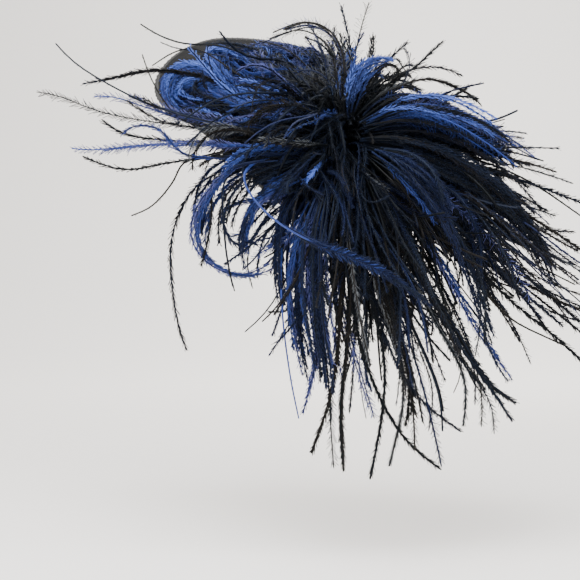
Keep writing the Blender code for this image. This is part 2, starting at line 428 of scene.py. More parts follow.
@dataclass(frozen=True)
class FeltFinish:
    """Black felt with a faint crosswise thread, worn a little at its crowns."""

    name: str
    turn: Spot
    pitch: float = 0.0011
    dark: Spot = (0.0044, 0.0045, 0.0048)
    light: Spot = (0.0275, 0.0265, 0.0255)
    lint_scale: float = 1500.0
    lint_level: float = 0.48
    lint_contrast: float = 5.0
    lint_height: float = 0.6
    cloud_scale: float = 60.0
    cloud_floor: float = 0.4
    weave_floor: float = 0.35
    roughness: float = 0.72
    roughness_reach: float = 0.2
    sheen_tint: Spot = (0.55, 0.55, 0.58)

    def make(self) -> bpy.types.Material:
        """Build the material.

        Returns:
            The felt material.
        """
        board = Board(self.name)
        place = board.node("ShaderNodeTexCoord").other("Object")
        flat = board.scaled(place, (1.0, 1.0, 1.0), self.turn)
        threads = []
        for direction in ("X", "Y"):
            threads.append(board.node(
                "ShaderNodeTexWave", {"wave_type": "BANDS", "bands_direction": direction},
                {"Vector": flat, "Scale": WAVE_LENGTH / self.pitch, "Distortion": 1.2,
                 "Detail": 2.0, "Detail Scale": 1.4}))
        weave = threads[0] * threads[1]
        lint = board.noise(place, self.lint_scale, 3.0)
        cloud = board.noise(place, self.cloud_scale, 3.0)
        speckle = ((lint - self.lint_level) * self.lint_contrast) * (self.weave_floor + weave)
        clipped = board.node("ShaderNodeClamp", {}, {"Value": speckle})
        clouded = clipped * (self.cloud_floor + (1.0 - self.cloud_floor) * cloud)
        bump = board.node("ShaderNodeBump", {}, {
            "Height": weave + self.lint_height * lint, "Strength": 0.7, "Distance": 0.0004})
        shader = board.node("ShaderNodeBsdfPrincipled", {}, {
            "Base Color": board.mix(clouded, self.dark, self.light),
            "Roughness": self.roughness + self.roughness_reach * cloud,
            "Specular IOR Level": 0.15,
            "Sheen Weight": 0.03,
            "Sheen Roughness": 0.5,
            "Sheen Tint": (*self.sheen_tint, 1.0),
            "Normal": bump,
        })
        return board.finish(shader)


@dataclass(frozen=True)
class ThreadFinish:
    """Satin thread wound round the piping and the stitches."""

    name: str
    colour: Spot
    pale: Spot
    scale: float = 900.0
    fibre_scale: float = 2200.0
    roughness: float = 0.42
    roughness_reach: float = 0.2

    def make(self) -> bpy.types.Material:
        """Build the material.

        Returns:
            The thread material.
        """
        board = Board(self.name)
        place = board.node("ShaderNodeTexCoord").other("Object")
        twist = board.node(
            "ShaderNodeTexWave", {"wave_type": "BANDS", "bands_direction": "DIAGONAL"},
            {"Vector": place, "Scale": self.scale, "Distortion": 2.0, "Detail": 1.0})
        fibre = board.noise(place, self.fibre_scale, 2.0)
        bump = board.node("ShaderNodeBump", {}, {"Height": twist, "Strength": 0.5, "Distance": 0.0002})
        shader = board.node("ShaderNodeBsdfPrincipled", {}, {
            "Base Color": board.mix(twist * fibre, self.colour, self.pale),
            "Roughness": self.roughness + self.roughness_reach * fibre,
            "Sheen Weight": 0.05,
            "Normal": bump,
        })
        return board.finish(shader)


@dataclass(frozen=True)
class CombFinish:
    """Moulded black plastic with fine rub marks."""

    name: str = "comb_plastic"
    dark: Spot = (0.010, 0.010, 0.011)
    light: Spot = (0.030, 0.029, 0.030)
    rub_stretch: Spot = (1.0, 4.0, 1.0)
    rub_scale: float = 420.0
    rub_share: float = 0.5
    cloud_scale: float = 90.0
    roughness: float = 0.22
    roughness_reach: float = 0.25

    def make(self) -> bpy.types.Material:
        """Build the material.

        Returns:
            The comb material.
        """
        board = Board(self.name)
        place = board.node("ShaderNodeTexCoord").other("Object")
        rubs = board.noise(board.scaled(place, self.rub_stretch), self.rub_scale, 4.0)
        cloud = board.noise(place, self.cloud_scale, 2.0)
        bump = board.node("ShaderNodeBump", {}, {"Height": rubs, "Strength": 0.12, "Distance": 0.0002})
        shader = board.node("ShaderNodeBsdfPrincipled", {}, {
            "Base Color": board.mix(rubs * self.rub_share, self.dark, self.light),
            "Roughness": self.roughness + self.roughness_reach * cloud,
            "Normal": bump,
        })
        return board.finish(shader)


@dataclass(frozen=True)
class Seat:
    """The domed base's tilt and size, and places on it. Angles are in radians."""

    elevation: float = math.radians(27.0)
    turn: float = math.radians(7.0)
    spin: float = math.radians(29.0)
    radius: float = 0.123
    wall: float = 0.002
    length: float = 0.148
    wide_radius: float = 0.048
    narrow_radius: float = 0.028
    edge_margin: float = 0.004

    def ends(self) -> Span:
        """Places of the wide and the narrow end's centres along the base."""
        return self.length / 2.0 - self.wide_radius, self.narrow_radius - self.length / 2.0

    def axes(self) -> tuple[Vector, Vector, Vector]:
        """The long axis, the short axis and the outward normal.

        Returns:
            Three unit vectors at right angles.
        """
        normal = Vector((
            math.cos(self.elevation) * math.sin(self.turn),
            -math.cos(self.elevation) * math.cos(self.turn),
            math.sin(self.elevation),
        ))
        level = (Vector((1.0, 0.0, 0.0)) - normal * normal.x).normalized()
        rise = normal.cross(level)
        long_axis = level * math.cos(self.spin) - rise * math.sin(self.spin)
        return long_axis, normal.cross(long_axis), normal

    def centre(self) -> Vector:
        """The middle of the dome's sphere."""
        return -self.axes()[2] * self.radius

    def direction(self, u: float, v: float) -> Vector:
        """Unit direction from the dome's centre to the underside's point at u, v."""
        long_axis, short_axis, normal = self.axes()
        rise = math.sqrt(self.radius ** 2 - u * u - v * v)
        return (long_axis * u + short_axis * v + normal * rise).normalized()

    def point(self, u: float, v: float, offset: float = 0.0) -> Vector:
        """A point on the underside, or that far outside it."""
        return self.centre() + self.direction(u, v) * (self.radius + offset)

    def flat_turn(self) -> Spot:
        """The turn that lays the base's own axes on X, Y and Z, as Euler angles."""
        return tuple(Matrix(self.axes()).to_euler())

    def clear(self, points: np.ndarray, height: float) -> np.ndarray:
        """Lift points that are inside or too near the dome off it.

        Args:
            points: Places, with three numbers in the last dimension.
            height: The least height above the dome's outside.

        Returns:
            The lifted places.
        """
        long_axis, short_axis, _ = (np.array(axis) for axis in self.axes())
        centre = np.array(self.centre())
        arm = points - centre
        reach = np.linalg.norm(arm, axis=-1)
        u = arm @ long_axis * (self.radius / reach)
        v = arm @ short_axis * (self.radius / reach)
        wide_u, narrow_u = self.ends()
        share = np.clip((u - narrow_u) / (wide_u - narrow_u), 0.0, 1.0)
        middle = narrow_u + share * (wide_u - narrow_u)
        width = self.narrow_radius + share * (self.wide_radius - self.narrow_radius)
        inside = np.hypot(u - middle, v) < width + self.edge_margin
        least = self.radius + self.wall + height
        grown = np.where(inside & (reach < least), least / reach, 1.0)
        return centre + arm * grown[..., None]


SEAT = Seat()


@dataclass(frozen=True)
class WearClearance:
    """The rounded space inside the fascinator that is kept free for wearing it."""

    centre: Spot = (-0.014, 0.066, -0.056)
    half: Spot = (0.098, 0.075, 0.100)

    def clear(self, points: np.ndarray, height: float) -> np.ndarray:
        """Move points out of the space.

        Args:
            points: Places, with three numbers in the last dimension.
            height: The least height above it.

        Returns:
            The moved places.
        """
        centre = np.array(self.centre)
        half = np.array(self.half) + height
        arm = (points - centre) / half
        reach = np.linalg.norm(arm, axis=-1, keepdims=True)
        grown = np.where(reach < 1.0, 1.0 / np.maximum(reach, 1e-6), 1.0)
        return centre + arm * grown * half


CLEARANCE = WearClearance()


@dataclass(frozen=True)
class Sight:
    """The viewpoint, which also places the strands that are read off the photograph."""

    eye: Spot = (0.0020, -0.600, -0.1012)
    lens: float = 69.48
    sensor: float = 36.0
    size: float = 580.0

    def ray(self, across: float, down: float) -> np.ndarray:
        """Direction of a sight line, one long towards +Y."""
        scale = self.sensor / self.lens / self.size
        return np.array(((across - self.size / 2.0) * scale, 1.0, (self.size / 2.0 - down) * scale))

    def at_depth(self, across: float, down: float, depth: float) -> np.ndarray:
        """The place on a sight line at a depth y."""
        return np.array(self.eye) + self.ray(across, down) * (depth - self.eye[1])

    def on_dome(self, across: float, down: float, height: float) -> np.ndarray:
        """The place on a sight line at a height above the base's dome.

        Args:
            across: Distance from the frame's left side.
            down: Distance from the frame's top.
            height: Height above the dome's outside, in metres.

        Returns:
            Where the line first meets that height, or where it passes nearest.
        """
        ray = self.ray(across, down)
        eye = np.array(self.eye)
        arm = eye - np.array(SEAT.centre())
        radius = SEAT.radius + SEAT.wall + height
        square, half, rest = ray @ ray, arm @ ray, arm @ arm - radius * radius
        root = max(half * half - square * rest, 0.0)
        return eye + ray * ((-half - math.sqrt(root)) / square)


SIGHT = Sight()


def unit(vectors: np.ndarray) -> np.ndarray:
    """The vectors scaled to length one."""
    return vectors / np.maximum(np.linalg.norm(vectors, axis=-1, keepdims=True), 1e-12)


def turned(vectors: np.ndarray, axes: np.ndarray, angles: np.ndarray) -> np.ndarray:
    """Turn each vector about its own axis.

    Args:
        vectors: The vectors to turn.
        axes: A unit axis for each.
        angles: An angle for each, in radians.

    Returns:
        The turned vectors.
    """
    cosine = np.cos(angles)[:, None]
    sine = np.sin(angles)[:, None]
    along = np.sum(vectors * axes, axis=-1, keepdims=True) * axes
    return vectors * cosine + np.cross(axes, vectors) * sine + along * (1.0 - cosine)


def settle(paths: np.ndarray, height: float = 0.0012, passes: int = 2) -> np.ndarray:
    """Lay strands over the base and the kept space, and ease their bends.

    Args:
        paths: Points of each strand, root first.
        height: The least height above what they lie on.
        passes: How often the bends are eased.

    Returns:
        The settled points.
    """
    for _ in range(passes):
        paths = SEAT.clear(CLEARANCE.clear(paths, height), height)
        eased = paths.copy()
        eased[:, 1:-1] = 0.25 * paths[:, :-2] + 0.5 * paths[:, 1:-1] + 0.25 * paths[:, 2:]
        paths = eased
    return SEAT.clear(CLEARANCE.clear(paths, height), height)


def resampled(line: np.ndarray, wanted: np.ndarray, places: np.ndarray | None = None) -> np.ndarray:
    """Points between a line's own points.

    Args:
        line: The line's points.
        wanted: Where points are wanted.
        places: Where the line's own points are, or none where they are at 0, 1, 2 and so on.

    Returns:
        One point for each wanted place.
    """
    own = np.arange(len(line)) if places is None else places
    return np.stack([np.interp(wanted, own, line[:, axis]) for axis in range(3)], axis=1)


def smooth_course(spots: np.ndarray, count: int, between: int = 16) -> np.ndarray:
    """A smooth line through a few spots, with evenly spaced points.

    Args:
        spots: The spots in order.
        count: How many points to give.
        between: How many points the curve is worked out at from one spot to the next.

    Returns:
        The points.
    """
    ends = np.vstack((2 * spots[0] - spots[1], spots, 2 * spots[-1] - spots[-2]))
    fine = []
    for index in range(1, len(ends) - 2):
        before, start, end, after = ends[index - 1:index + 3]
        share = np.linspace(0.0, 1.0, between, endpoint=False)[:, None]
        fine.append(0.5 * (
            2 * start + (end - before) * share
            + (2 * before - 5 * start + 4 * end - after) * share ** 2
            + (3 * start - before - 3 * end + after) * share ** 3))
    line = np.vstack((*fine, spots[-1:]))
    reach = np.concatenate(([0.0], np.cumsum(np.linalg.norm(np.diff(line, axis=0), axis=1))))
    return resampled(line, np.linspace(0.0, reach[-1], count), reach)


def place_piece(name: str, mesh: bpy.types.Mesh, material: bpy.types.Material) -> bpy.types.Object:
    """Put a mesh in the scene.

    Args:
        name: The object's name.
        mesh: The mesh, in its final place.
        material: Its finish.

    Returns:
        The object, at the origin.
    """
    mesh.materials.append(material)
    piece = bpy.data.objects.new(name, mesh)
    bpy.context.scene.collection.objects.link(piece)
    return piece


def smooth_mesh(name: str, bm: bmesh.types.BMesh) -> bpy.types.Mesh:
    """Turn a bmesh into a smooth mesh with its faces outwards.

    Args:
        name: The mesh's name.
        bm: The bmesh, which is freed.

    Returns:
        The mesh.
    """
    bmesh.ops.recalc_face_normals(bm, faces=bm.faces)
    mesh = bpy.data.meshes.new(name)
    bm.to_mesh(mesh)
    bm.free()
    for polygon in mesh.polygons:
        polygon.use_smooth = True
    return mesh


@dataclass(frozen=True)
class Room:
    """The space that the barbs may fill."""

    low: Spot
    high: Spot

    @staticmethod
    def around(
        low: Vector, high: Vector, share: float = 0.03, margin: float = 0.010, edge: float = 0.005,
    ) -> "Room":
        """The room round the solids.

        Args:
            low: The solids' lowest corner.
            high: The solids' highest corner.
            share: Share of each side that fabric may stand proud.
            margin: Length that it may stand proud besides.
            edge: What is kept free of it for the barbules.

        Returns:
            The room.
        """
        grow = (high - low) * share + Vector((1.0, 1.0, 1.0)) * (margin - edge)
        return Room(tuple(low - grow), tuple(high + grow))

    def trim(self, paths: np.ndarray) -> np.ndarray:
        """Shorten the strands that leave the room, and space their points again.

        Args:
            paths: Points of each strand, root first.

        Returns:
            The strands, all inside.
        """
        outside = ((paths < np.array(self.low)) | (paths > np.array(self.high))).any(axis=2)
        steps = paths.shape[1]
        result = paths.copy()
        for index in np.flatnonzero(outside.any(axis=1)):
            last = max(int(np.argmax(outside[index])) - 1, 2)
            result[index] = resampled(paths[index], np.linspace(0.0, last, steps))
        return result


ROOM = Room.around(*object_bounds())


class BarbPiece:
    """Barbs with their barbules, gathered as arrays and joined in one mesh of closed shapes."""

    # Shafts
    corners = 3
    flatness = 0.7
    taper = 0.25
    blunt = 0.10
    # Barbules
    last_share = 0.985
    jitter = 0.3
    grown_within = 0.12
    first_length = 0.25
    shorter_at_tip = 0.3
    lengths = (0.60, 1.20)
    roll = 0.35
    tip_width = 0.75
    # Places on the palette map, across one column and along the barb
    column_span = (0.08, 0.88)
    column_used = 0.03 / len(Tone)
    map_end = 0.995

    def __init__(self, name: str, seed: int) -> None:
        """Start an empty piece.

        Args:
            name: The piece's name.
            seed: The seed of its random numbers.
        """
        self.name = name
        self.rng = np.random.default_rng(seed)
        self.places: list[np.ndarray] = []
        self.faces: list[np.ndarray] = []
        self.maps: list[np.ndarray] = []
        self.total = 0

    def add(
        self, paths: np.ndarray, radii: np.ndarray, mix: ToneMix, fringe: Fringe, facing: np.ndarray,
    ) -> None:
        """Add strands of one kind.

        Args:
            paths: Points of each strand, evenly spaced, root first.
            radii: Radius of each strand at its root.
            mix: The tones to draw from.
            fringe: The barbules' form.
            facing: For each strand, the way that its flat side faces at the root.
        """
        count, steps, _ = paths.shape
        along = np.empty_like(paths)
        along[:, 1:-1] = paths[:, 2:] - paths[:, :-2]
        along[:, 0] = paths[:, 1] - paths[:, 0]
        along[:, -1] = paths[:, -1] - paths[:, -2]
        along = unit(along)
        side = np.empty_like(paths)
        current = unit(np.cross(along[:, 0], facing))
        for step in range(steps):
            current = unit(current - along[:, step] * np.sum(current * along[:, step], axis=1, keepdims=True))
            side[:, step] = current
        upward = np.cross(along, side)
        shaft_column = ToneMix.draw(mix.shafts, count, self.rng)
        fringe_column = ToneMix.draw(mix.fringes, count, self.rng)
        self.add_shafts(paths, side, upward, radii, self.column_place(shaft_column))
        self.add_barbules(paths, along, side, upward, fringe, self.column_place(fringe_column))

    @staticmethod
    def reach_place(points: np.ndarray) -> np.ndarray:
        """Place on the map's second axis: the distance from the pad, as a share of the map's reach."""
        distance = np.linalg.norm(points - np.array(PAD.foot()), axis=-1)
        return np.clip(distance / MAP_REACH, 0.0, BarbPiece.map_end)

    def column_place(self, columns: np.ndarray) -> np.ndarray:
        """A random place across each palette column."""
        return (columns + self.rng.uniform(*self.column_span, len(columns))) / len(Tone)

    def add_shafts(
        self, paths: np.ndarray, side: np.ndarray, upward: np.ndarray, radii: np.ndarray, across: np.ndarray,
    ) -> None:
        """Add the tapered shafts as closed three-sided tubes.

        Args:
            paths: Points of each strand.
            side: Unit vectors across the flat side.
            upward: Unit vectors out of the flat side.
            radii: Radius of each strand at its root.
            across: Place of each strand on the map's first axis.
        """
        count, steps, _ = paths.shape
        share = np.linspace(0.0, 1.0, steps)
        radius = radii[:, None] * (1.0 - self.taper * share ** 2.0)[None, :]
        angles = 2.0 * math.pi * np.arange(self.corners) / self.corners
        middles = paths.copy()
        middles[:, -1] = paths[:, -2] * self.blunt + paths[:, -1] * (1.0 - self.blunt)
        rings = (
            middles[:, :, None]
            + side[:, :, None] * (radius[..., None] * np.cos(angles))[..., None]
            + upward[:, :, None] * (radius[..., None] * np.sin(angles) * self.flatness)[..., None])
        per = self.corners * steps + 1
        places = np.concatenate((rings.reshape(count, -1, 3), paths[:, -1:]), axis=1)
        triangles, lefts = [(0, 2, 1)], [(0.0, 1.0, 0.5)]
        for corner in range(self.corners):
            after = (corner + 1) % self.corners
            left, right = corner / self.corners, (corner + 1) / self.corners
            for step in range(steps - 1):
                a, b = step * self.corners + corner, step * self.corners + after
                triangles += [(a, b, b + self.corners), (a, b + self.corners, a + self.corners)]
                lefts += [(left, right, right), (left, right, left)]
            last = (steps - 1) * self.corners
            triangles.append((last + corner, last + after, per - 1))
            lefts.append((left, right, (left + right) / 2.0))
        faces = np.array(triangles)[None] + (np.arange(count) * per)[:, None, None]
        maps = np.empty((count, len(triangles), 3, 2))
        maps[..., 0] = across[:, None, None] + np.array(lefts) * self.column_used
        maps[..., 1] = self.reach_place(places)[:, np.array(triangles)]
        self.keep(places.reshape(-1, 3), faces.reshape(-1, 3), maps.reshape(-1, 3, 2))

    def add_barbules(
        self, paths: np.ndarray, along: np.ndarray, side: np.ndarray, upward: np.ndarray,
        fringe: Fringe, across: np.ndarray,
    ) -> None:
        """Add the barbules as closed spikes on both sides of the shafts.

        Args:
            paths: Points of each strand.
            along: Unit vectors along the strand.
            side: Unit vectors across the flat side.
            upward: Unit vectors out of the flat side.
            fringe: The barbules' form.
            across: Place of each strand on the map's first axis.
        """
        count, steps, _ = paths.shape
        lengths = np.linalg.norm(np.diff(paths, axis=1), axis=2).sum(axis=1)
        pairs = np.maximum(((self.last_share - fringe.start) * lengths / fringe.pitch).astype(int), 1)
        strand = np.repeat(np.arange(count), 2 * pairs)
        first = np.concatenate(([0], np.cumsum(2 * pairs)[:-1]))
        order = np.arange(len(strand)) - first[strand]
        hand = np.where(order % 2 == 0, 1.0, -1.0)
        jitter = self.rng.uniform(-self.jitter, self.jitter, len(strand))
        share = fringe.start + (order // 2 + 0.5 + jitter) * fringe.pitch / lengths[strand]
        share = np.clip(share, 0.0, 0.99)
        place = share * (steps - 1)
        lower = np.minimum(place.astype(int), steps - 2)
        part = (place - lower)[:, None]

        def between(field: np.ndarray) -> np.ndarray:
            """The field's value at each barbule."""
            return field[strand, lower] * (1.0 - part) + field[strand, lower + 1] * part

        root = between(paths)
        forward, out, normal = unit(between(along)), unit(between(side)), unit(between(upward))
        grown = np.clip((share - fringe.start) / self.grown_within, self.first_length, 1.0)
        grown = grown * (1.0 - self.shorter_at_tip * share ** 4)
        length = fringe.length * grown * self.rng.uniform(*self.lengths, len(strand))
        sweep = fringe.sweep + self.rng.normal(0.0, fringe.scatter, len(strand))
        roll = self.rng.normal(0.0, self.roll, len(strand))
        outward = out * (hand * np.cos(roll))[:, None] + normal * np.sin(roll)[:, None]
        reach = forward * np.cos(sweep)[:, None] + outward * np.sin(sweep)[:, None]
        edge = unit(np.cross(normal, reach))
        near = unit(edge + normal) * (fringe.width / 2.0)
        far = unit(normal - edge) * (fringe.width * self.tip_width / 2.0)
        tip = root + reach * length[:, None]
        places = np.stack((root - near, root + near, tip - far, tip + far), axis=1)
        base = (np.arange(len(strand)) * 4)[:, None, None]
        sides = np.array(((0, 1, 2), (0, 3, 1), (0, 2, 3), (1, 3, 2)))
        shifts = np.array((0.0, 1.0, 0.5, 0.5)) * self.column_used
        corner_map = np.stack((across[strand][:, None] + shifts, self.reach_place(places)), axis=2)
        faces, maps = sides[None] + base, corner_map[:, sides]
        self.keep(places.reshape(-1, 3), faces.reshape(-1, 3), maps.reshape(-1, 3, 2))

    def keep(self, places: np.ndarray, faces: np.ndarray, maps: np.ndarray) -> None:
        """Keep joined arrays.

        Args:
            places: Corner places.
            faces: Triangles, numbered from these places.
            maps: Map places of the triangles' corners.
        """
        self.places.append(places)
        self.faces.append(faces + self.total)
        self.maps.append(maps)
        self.total += len(places)

    def make(self, material: bpy.types.Material, slot: str, *nodes: str) -> bpy.types.Object:
        """Make the piece's object.

        Args:
            material: Its finish.
            slot: Not used.
            nodes: The CAD nodes that it stands for.

        Returns:
            The finished piece.
        """
        places = np.concatenate(self.places).astype(np.float32)
        faces = np.concatenate(self.faces).astype(np.int32)
        maps = np.concatenate(self.maps).astype(np.float32)
        mesh = bpy.data.meshes.new(self.name)
        mesh.vertices.add(len(places))
        mesh.vertices.foreach_set("co", places.ravel())
        mesh.loops.add(faces.size)
        mesh.loops.foreach_set("vertex_index", faces.ravel())
        mesh.polygons.add(len(faces))
        mesh.polygons.foreach_set("loop_start", np.arange(0, faces.size, 3, dtype=np.int32))
        mesh.update(calc_edges=True)
        mesh.uv_layers.new(name=UV_NAME).uv.foreach_set("vector", maps.ravel())
        piece = place_piece(self.name, mesh, material)
        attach(piece, BODY)
        if nodes:
            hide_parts(*nodes)
        LOG.info("%s: %d triangles", self.name, len(faces))
        return piece


@dataclass(frozen=True)
class Pad:
    """The pad that the plumes burst from."""

    u: float = 0.038
    v: float = -0.006
    radius: float = 0.013
    gap: float = 0.0003

    def foot(self) -> Vector:
        """The middle of the pad's foot."""
        return SEAT.point(self.u, self.v, SEAT.wall + self.gap)

    def axes(self) -> tuple[Vector, Vector, Vector]:
        """The way that the pad faces, the way back over the base, and the way up."""
        axis = SEAT.direction(self.u, self.v)
        back = (Vector((1.0, 0.0, 0.0)) - axis * axis.x).normalized()
        return axis, back, axis.cross(back)

    def aim(self, azimuth: np.ndarray, lift: np.ndarray) -> np.ndarray:
        """Unit directions away from the pad.

        Args:
            azimuth: Angles round the pad, in radians.
            lift: Angles above its foot, in radians.

        Returns:
            A direction for each pair of angles.
        """
        axis, back, up = (np.array(item) for item in self.axes())
        outward = np.cos(azimuth)[:, None] * back + np.sin(azimuth)[:, None] * up
        return outward * np.cos(lift)[:, None] + axis * np.sin(lift)[:, None]


PAD = Pad()


TOWARDS_VIEW = np.array((0.0, -1.0, 0.0))


@dataclass(frozen=True)
class Bunch:
    """One bunch of barbs, with the same table row as its solid.

    A lock is a few long barbs that run together, and the fillers are shorter
    ones that keep the bunch full near the pad. Angles in the table are in
    degrees, and curl and wave in radians.
    """

    colour: str
    azimuth: float
    lift: float
    length: float
    droop: float
    hug: float
    locks: int = 9
    members: int = 3
    fillers: int = 34
    curl: float = 0.60
    wave: float = 0.22
    loose: float = 0.08
    other: float = 0.0
    mix: ToneMix = DEEP_MIX
    kept: float = 1.0
    ragged: float = 1.0

    fan: float = 10.5
    widest_fan: float = 34.0
    lift_spread: float = 13.0
    steps: int = 15
    droop_power: float = 1.3
    droops: Span = (0.02, 0.90)
    root_scatter: float = 0.18
    root_depth: float = 0.97
    curl_power: float = 2.4
    stray_share: float = 0.12
    stray_curl: float = 0.7
    wave_turns: Span = (0.8, 1.6)
    lock_reach: Span = (0.52, 1.05)
    filler_reach: Span = (0.30, 0.72)
    barb_ends: Span = (0.80, 1.0)
    lock_width: float = 0.0025
    widest_lock: float = 0.006
    ripple: float = 0.0018
    ripple_turn: float = 7.0
    bend: float = 0.0085
    widest_bend: float = 0.016
    facing_scatter: float = 0.55
    radii: Span = (0.00048, 0.00078)
    filler_radius: float = 1.25
    kind_shares: tuple[tuple[FringeKind, float], ...] = (
        (FringeKind.FUR, 0.64), (FringeKind.HERRINGBONE, 0.22), (FringeKind.BARE, 0.14))

    def guides(self, rng: np.random.Generator, count: int, reach: Span) -> np.ndarray:
        """Points of the middle line of each lock.

        Args:
            rng: The piece's random numbers.
            count: How many locks.
            reach: The shortest and the longest, as shares of the tier's reach there.

        Returns:
            An array of locks, points and three coordinates.
        """
        fan = min(self.fan / math.cos(math.radians(self.lift)), self.widest_fan)
        round_pad = self.azimuth + rng.normal(0.0, 1.0, count).clip(-2.0, 2.0) * fan
        azimuth = np.radians(round_pad)
        lift = np.radians(self.lift + rng.uniform(-self.lift_spread, self.lift_spread, count))
        heading = PAD.aim(azimuth, lift)
        length = reach_at(self.lift, round_pad) * self.kept * rng.uniform(*reach, count)
        droop = np.clip(self.droop + np.abs(rng.normal(0.0, self.loose, count)), *self.droops)
        axis = np.array(PAD.axes()[0])
        target = unit(np.array((0.0, 0.0, -1.0)) * (1.0 - self.hug) - axis * self.hug)
        scattered = unit(heading + rng.normal(0.0, self.root_scatter, (count, 3)))
        place = np.array(PAD.foot()) + scattered * PAD.radius * self.root_depth
        bend_axis = unit(np.cross(heading, rng.normal(0.0, 1.0, (count, 3))))
        curl = rng.normal(0.0, self.curl, count)
        stray = rng.random(count) < self.stray_share
        curl = curl + np.where(stray, rng.normal(0.0, self.stray_curl, count), 0.0)
        wave_axis = unit(np.cross(heading, rng.normal(0.0, 1.0, (count, 3))))
        wave = rng.normal(0.0, self.wave, count)
        turns = rng.uniform(*self.wave_turns, count)
        phase = rng.uniform(0.0, 2.0 * math.pi, count)
        points = [place]
        step = length[:, None] / (self.steps - 1)
        for index in range(self.steps - 1):
            share = (index + 0.5) / (self.steps - 1)
            sunk = (droop * share ** self.droop_power)[:, None]
            direction = unit(heading * (1.0 - sunk) + target * sunk)
            direction = turned(direction, bend_axis, curl * share ** self.curl_power)
            direction = turned(direction, wave_axis, wave * np.sin(2.0 * math.pi * turns * share + phase))
            place = place + direction * step
            points.append(place)
        return np.stack(points, axis=1)

    def courses(self, rng: np.random.Generator) -> np.ndarray:
        """Points of every barb of the bunch.

        Args:
            rng: The piece's random numbers.

        Returns:
            An array of barbs, points and three coordinates.
        """
        middle = np.repeat(self.guides(rng, self.locks, self.lock_reach), self.members, axis=0)
        count = len(middle)
        share = np.linspace(0.0, 1.0, self.steps)
        shift = rng.normal(0.0, self.lock_width, (count, 1, 3)).clip(-self.widest_lock, self.widest_lock)
        own = rng.normal(0.0, self.ripple * self.ragged, (count, 1, 3))
        phase = rng.uniform(0.0, 2.0 * math.pi, (count, 1, 1))
        bend = rng.normal(0.0, self.bend, (count, 1, 3)).clip(-self.widest_bend, self.widest_bend)
        # A lock is narrow at its root, widest at three quarters and narrower again at its tip
        gathered = (0.35 + 1.1 * share - 0.70 * share ** 2.0)[None, :, None]
        ripple = np.sin(self.ripple_turn * share[None, :, None] + phase) * share[None, :, None]
        flare = bend * self.ragged * (share ** 3.0)[None, :, None]
        locks = middle + shift * gathered + own * ripple + flare
        ends = rng.uniform(*self.barb_ends, count)
        for index in range(count):
            locks[index] = resampled(locks[index], share * ends[index] * (self.steps - 1))
        short = self.guides(rng, self.fillers, self.filler_reach)
        return ROOM.trim(settle(np.concatenate((locks, short))))

    def dress(self, name: str, node: str, seed: int, material: bpy.types.Material) -> bpy.types.Object:
        """Build the bunch's barbs in place of its solid.

        Args:
            name: The new piece's name.
            node: The CAD node that it replaces.
            seed: The seed of its random numbers.
            material: Its finish.

        Returns:
            The finished piece.
        """
        piece = BarbPiece(name, seed)
        courses = self.courses(piece.rng)
        count = len(courses)
        facing = unit(TOWARDS_VIEW + piece.rng.normal(0.0, self.facing_scatter, (count, 3)))
        radii = piece.rng.uniform(*self.radii, count)
        names, shares = zip(*self.kind_shares)
        kinds = piece.rng.choice(len(names), size=count, p=shares)
        filler = np.arange(count) >= count - self.fillers
        # Two fillers in five are furry, and the rest are bare
        furry = np.arange(self.fillers) % 5 < 2
        kinds[filler] = np.where(furry, names.index(FringeKind.FUR), names.index(FringeKind.BARE))
        radii[filler] *= self.filler_radius
        own = piece.rng.random(count) >= self.other
        pair = (self.mix, BLACK_MIX) if self.colour == "blue" else (BLACK_MIX, self.mix)
        # Fillers are black in every bunch
        own[filler] = self.colour == "black"
        for index, kind in enumerate(names):
            for mix, wanted in zip(pair, (own, ~own)):
                chosen = (kinds == index) & wanted
                if chosen.any():
                    piece.add(courses[chosen], radii[chosen], mix, kind.value, facing[chosen])
        return piece.make(material, f"{self.colour}_feather", node)


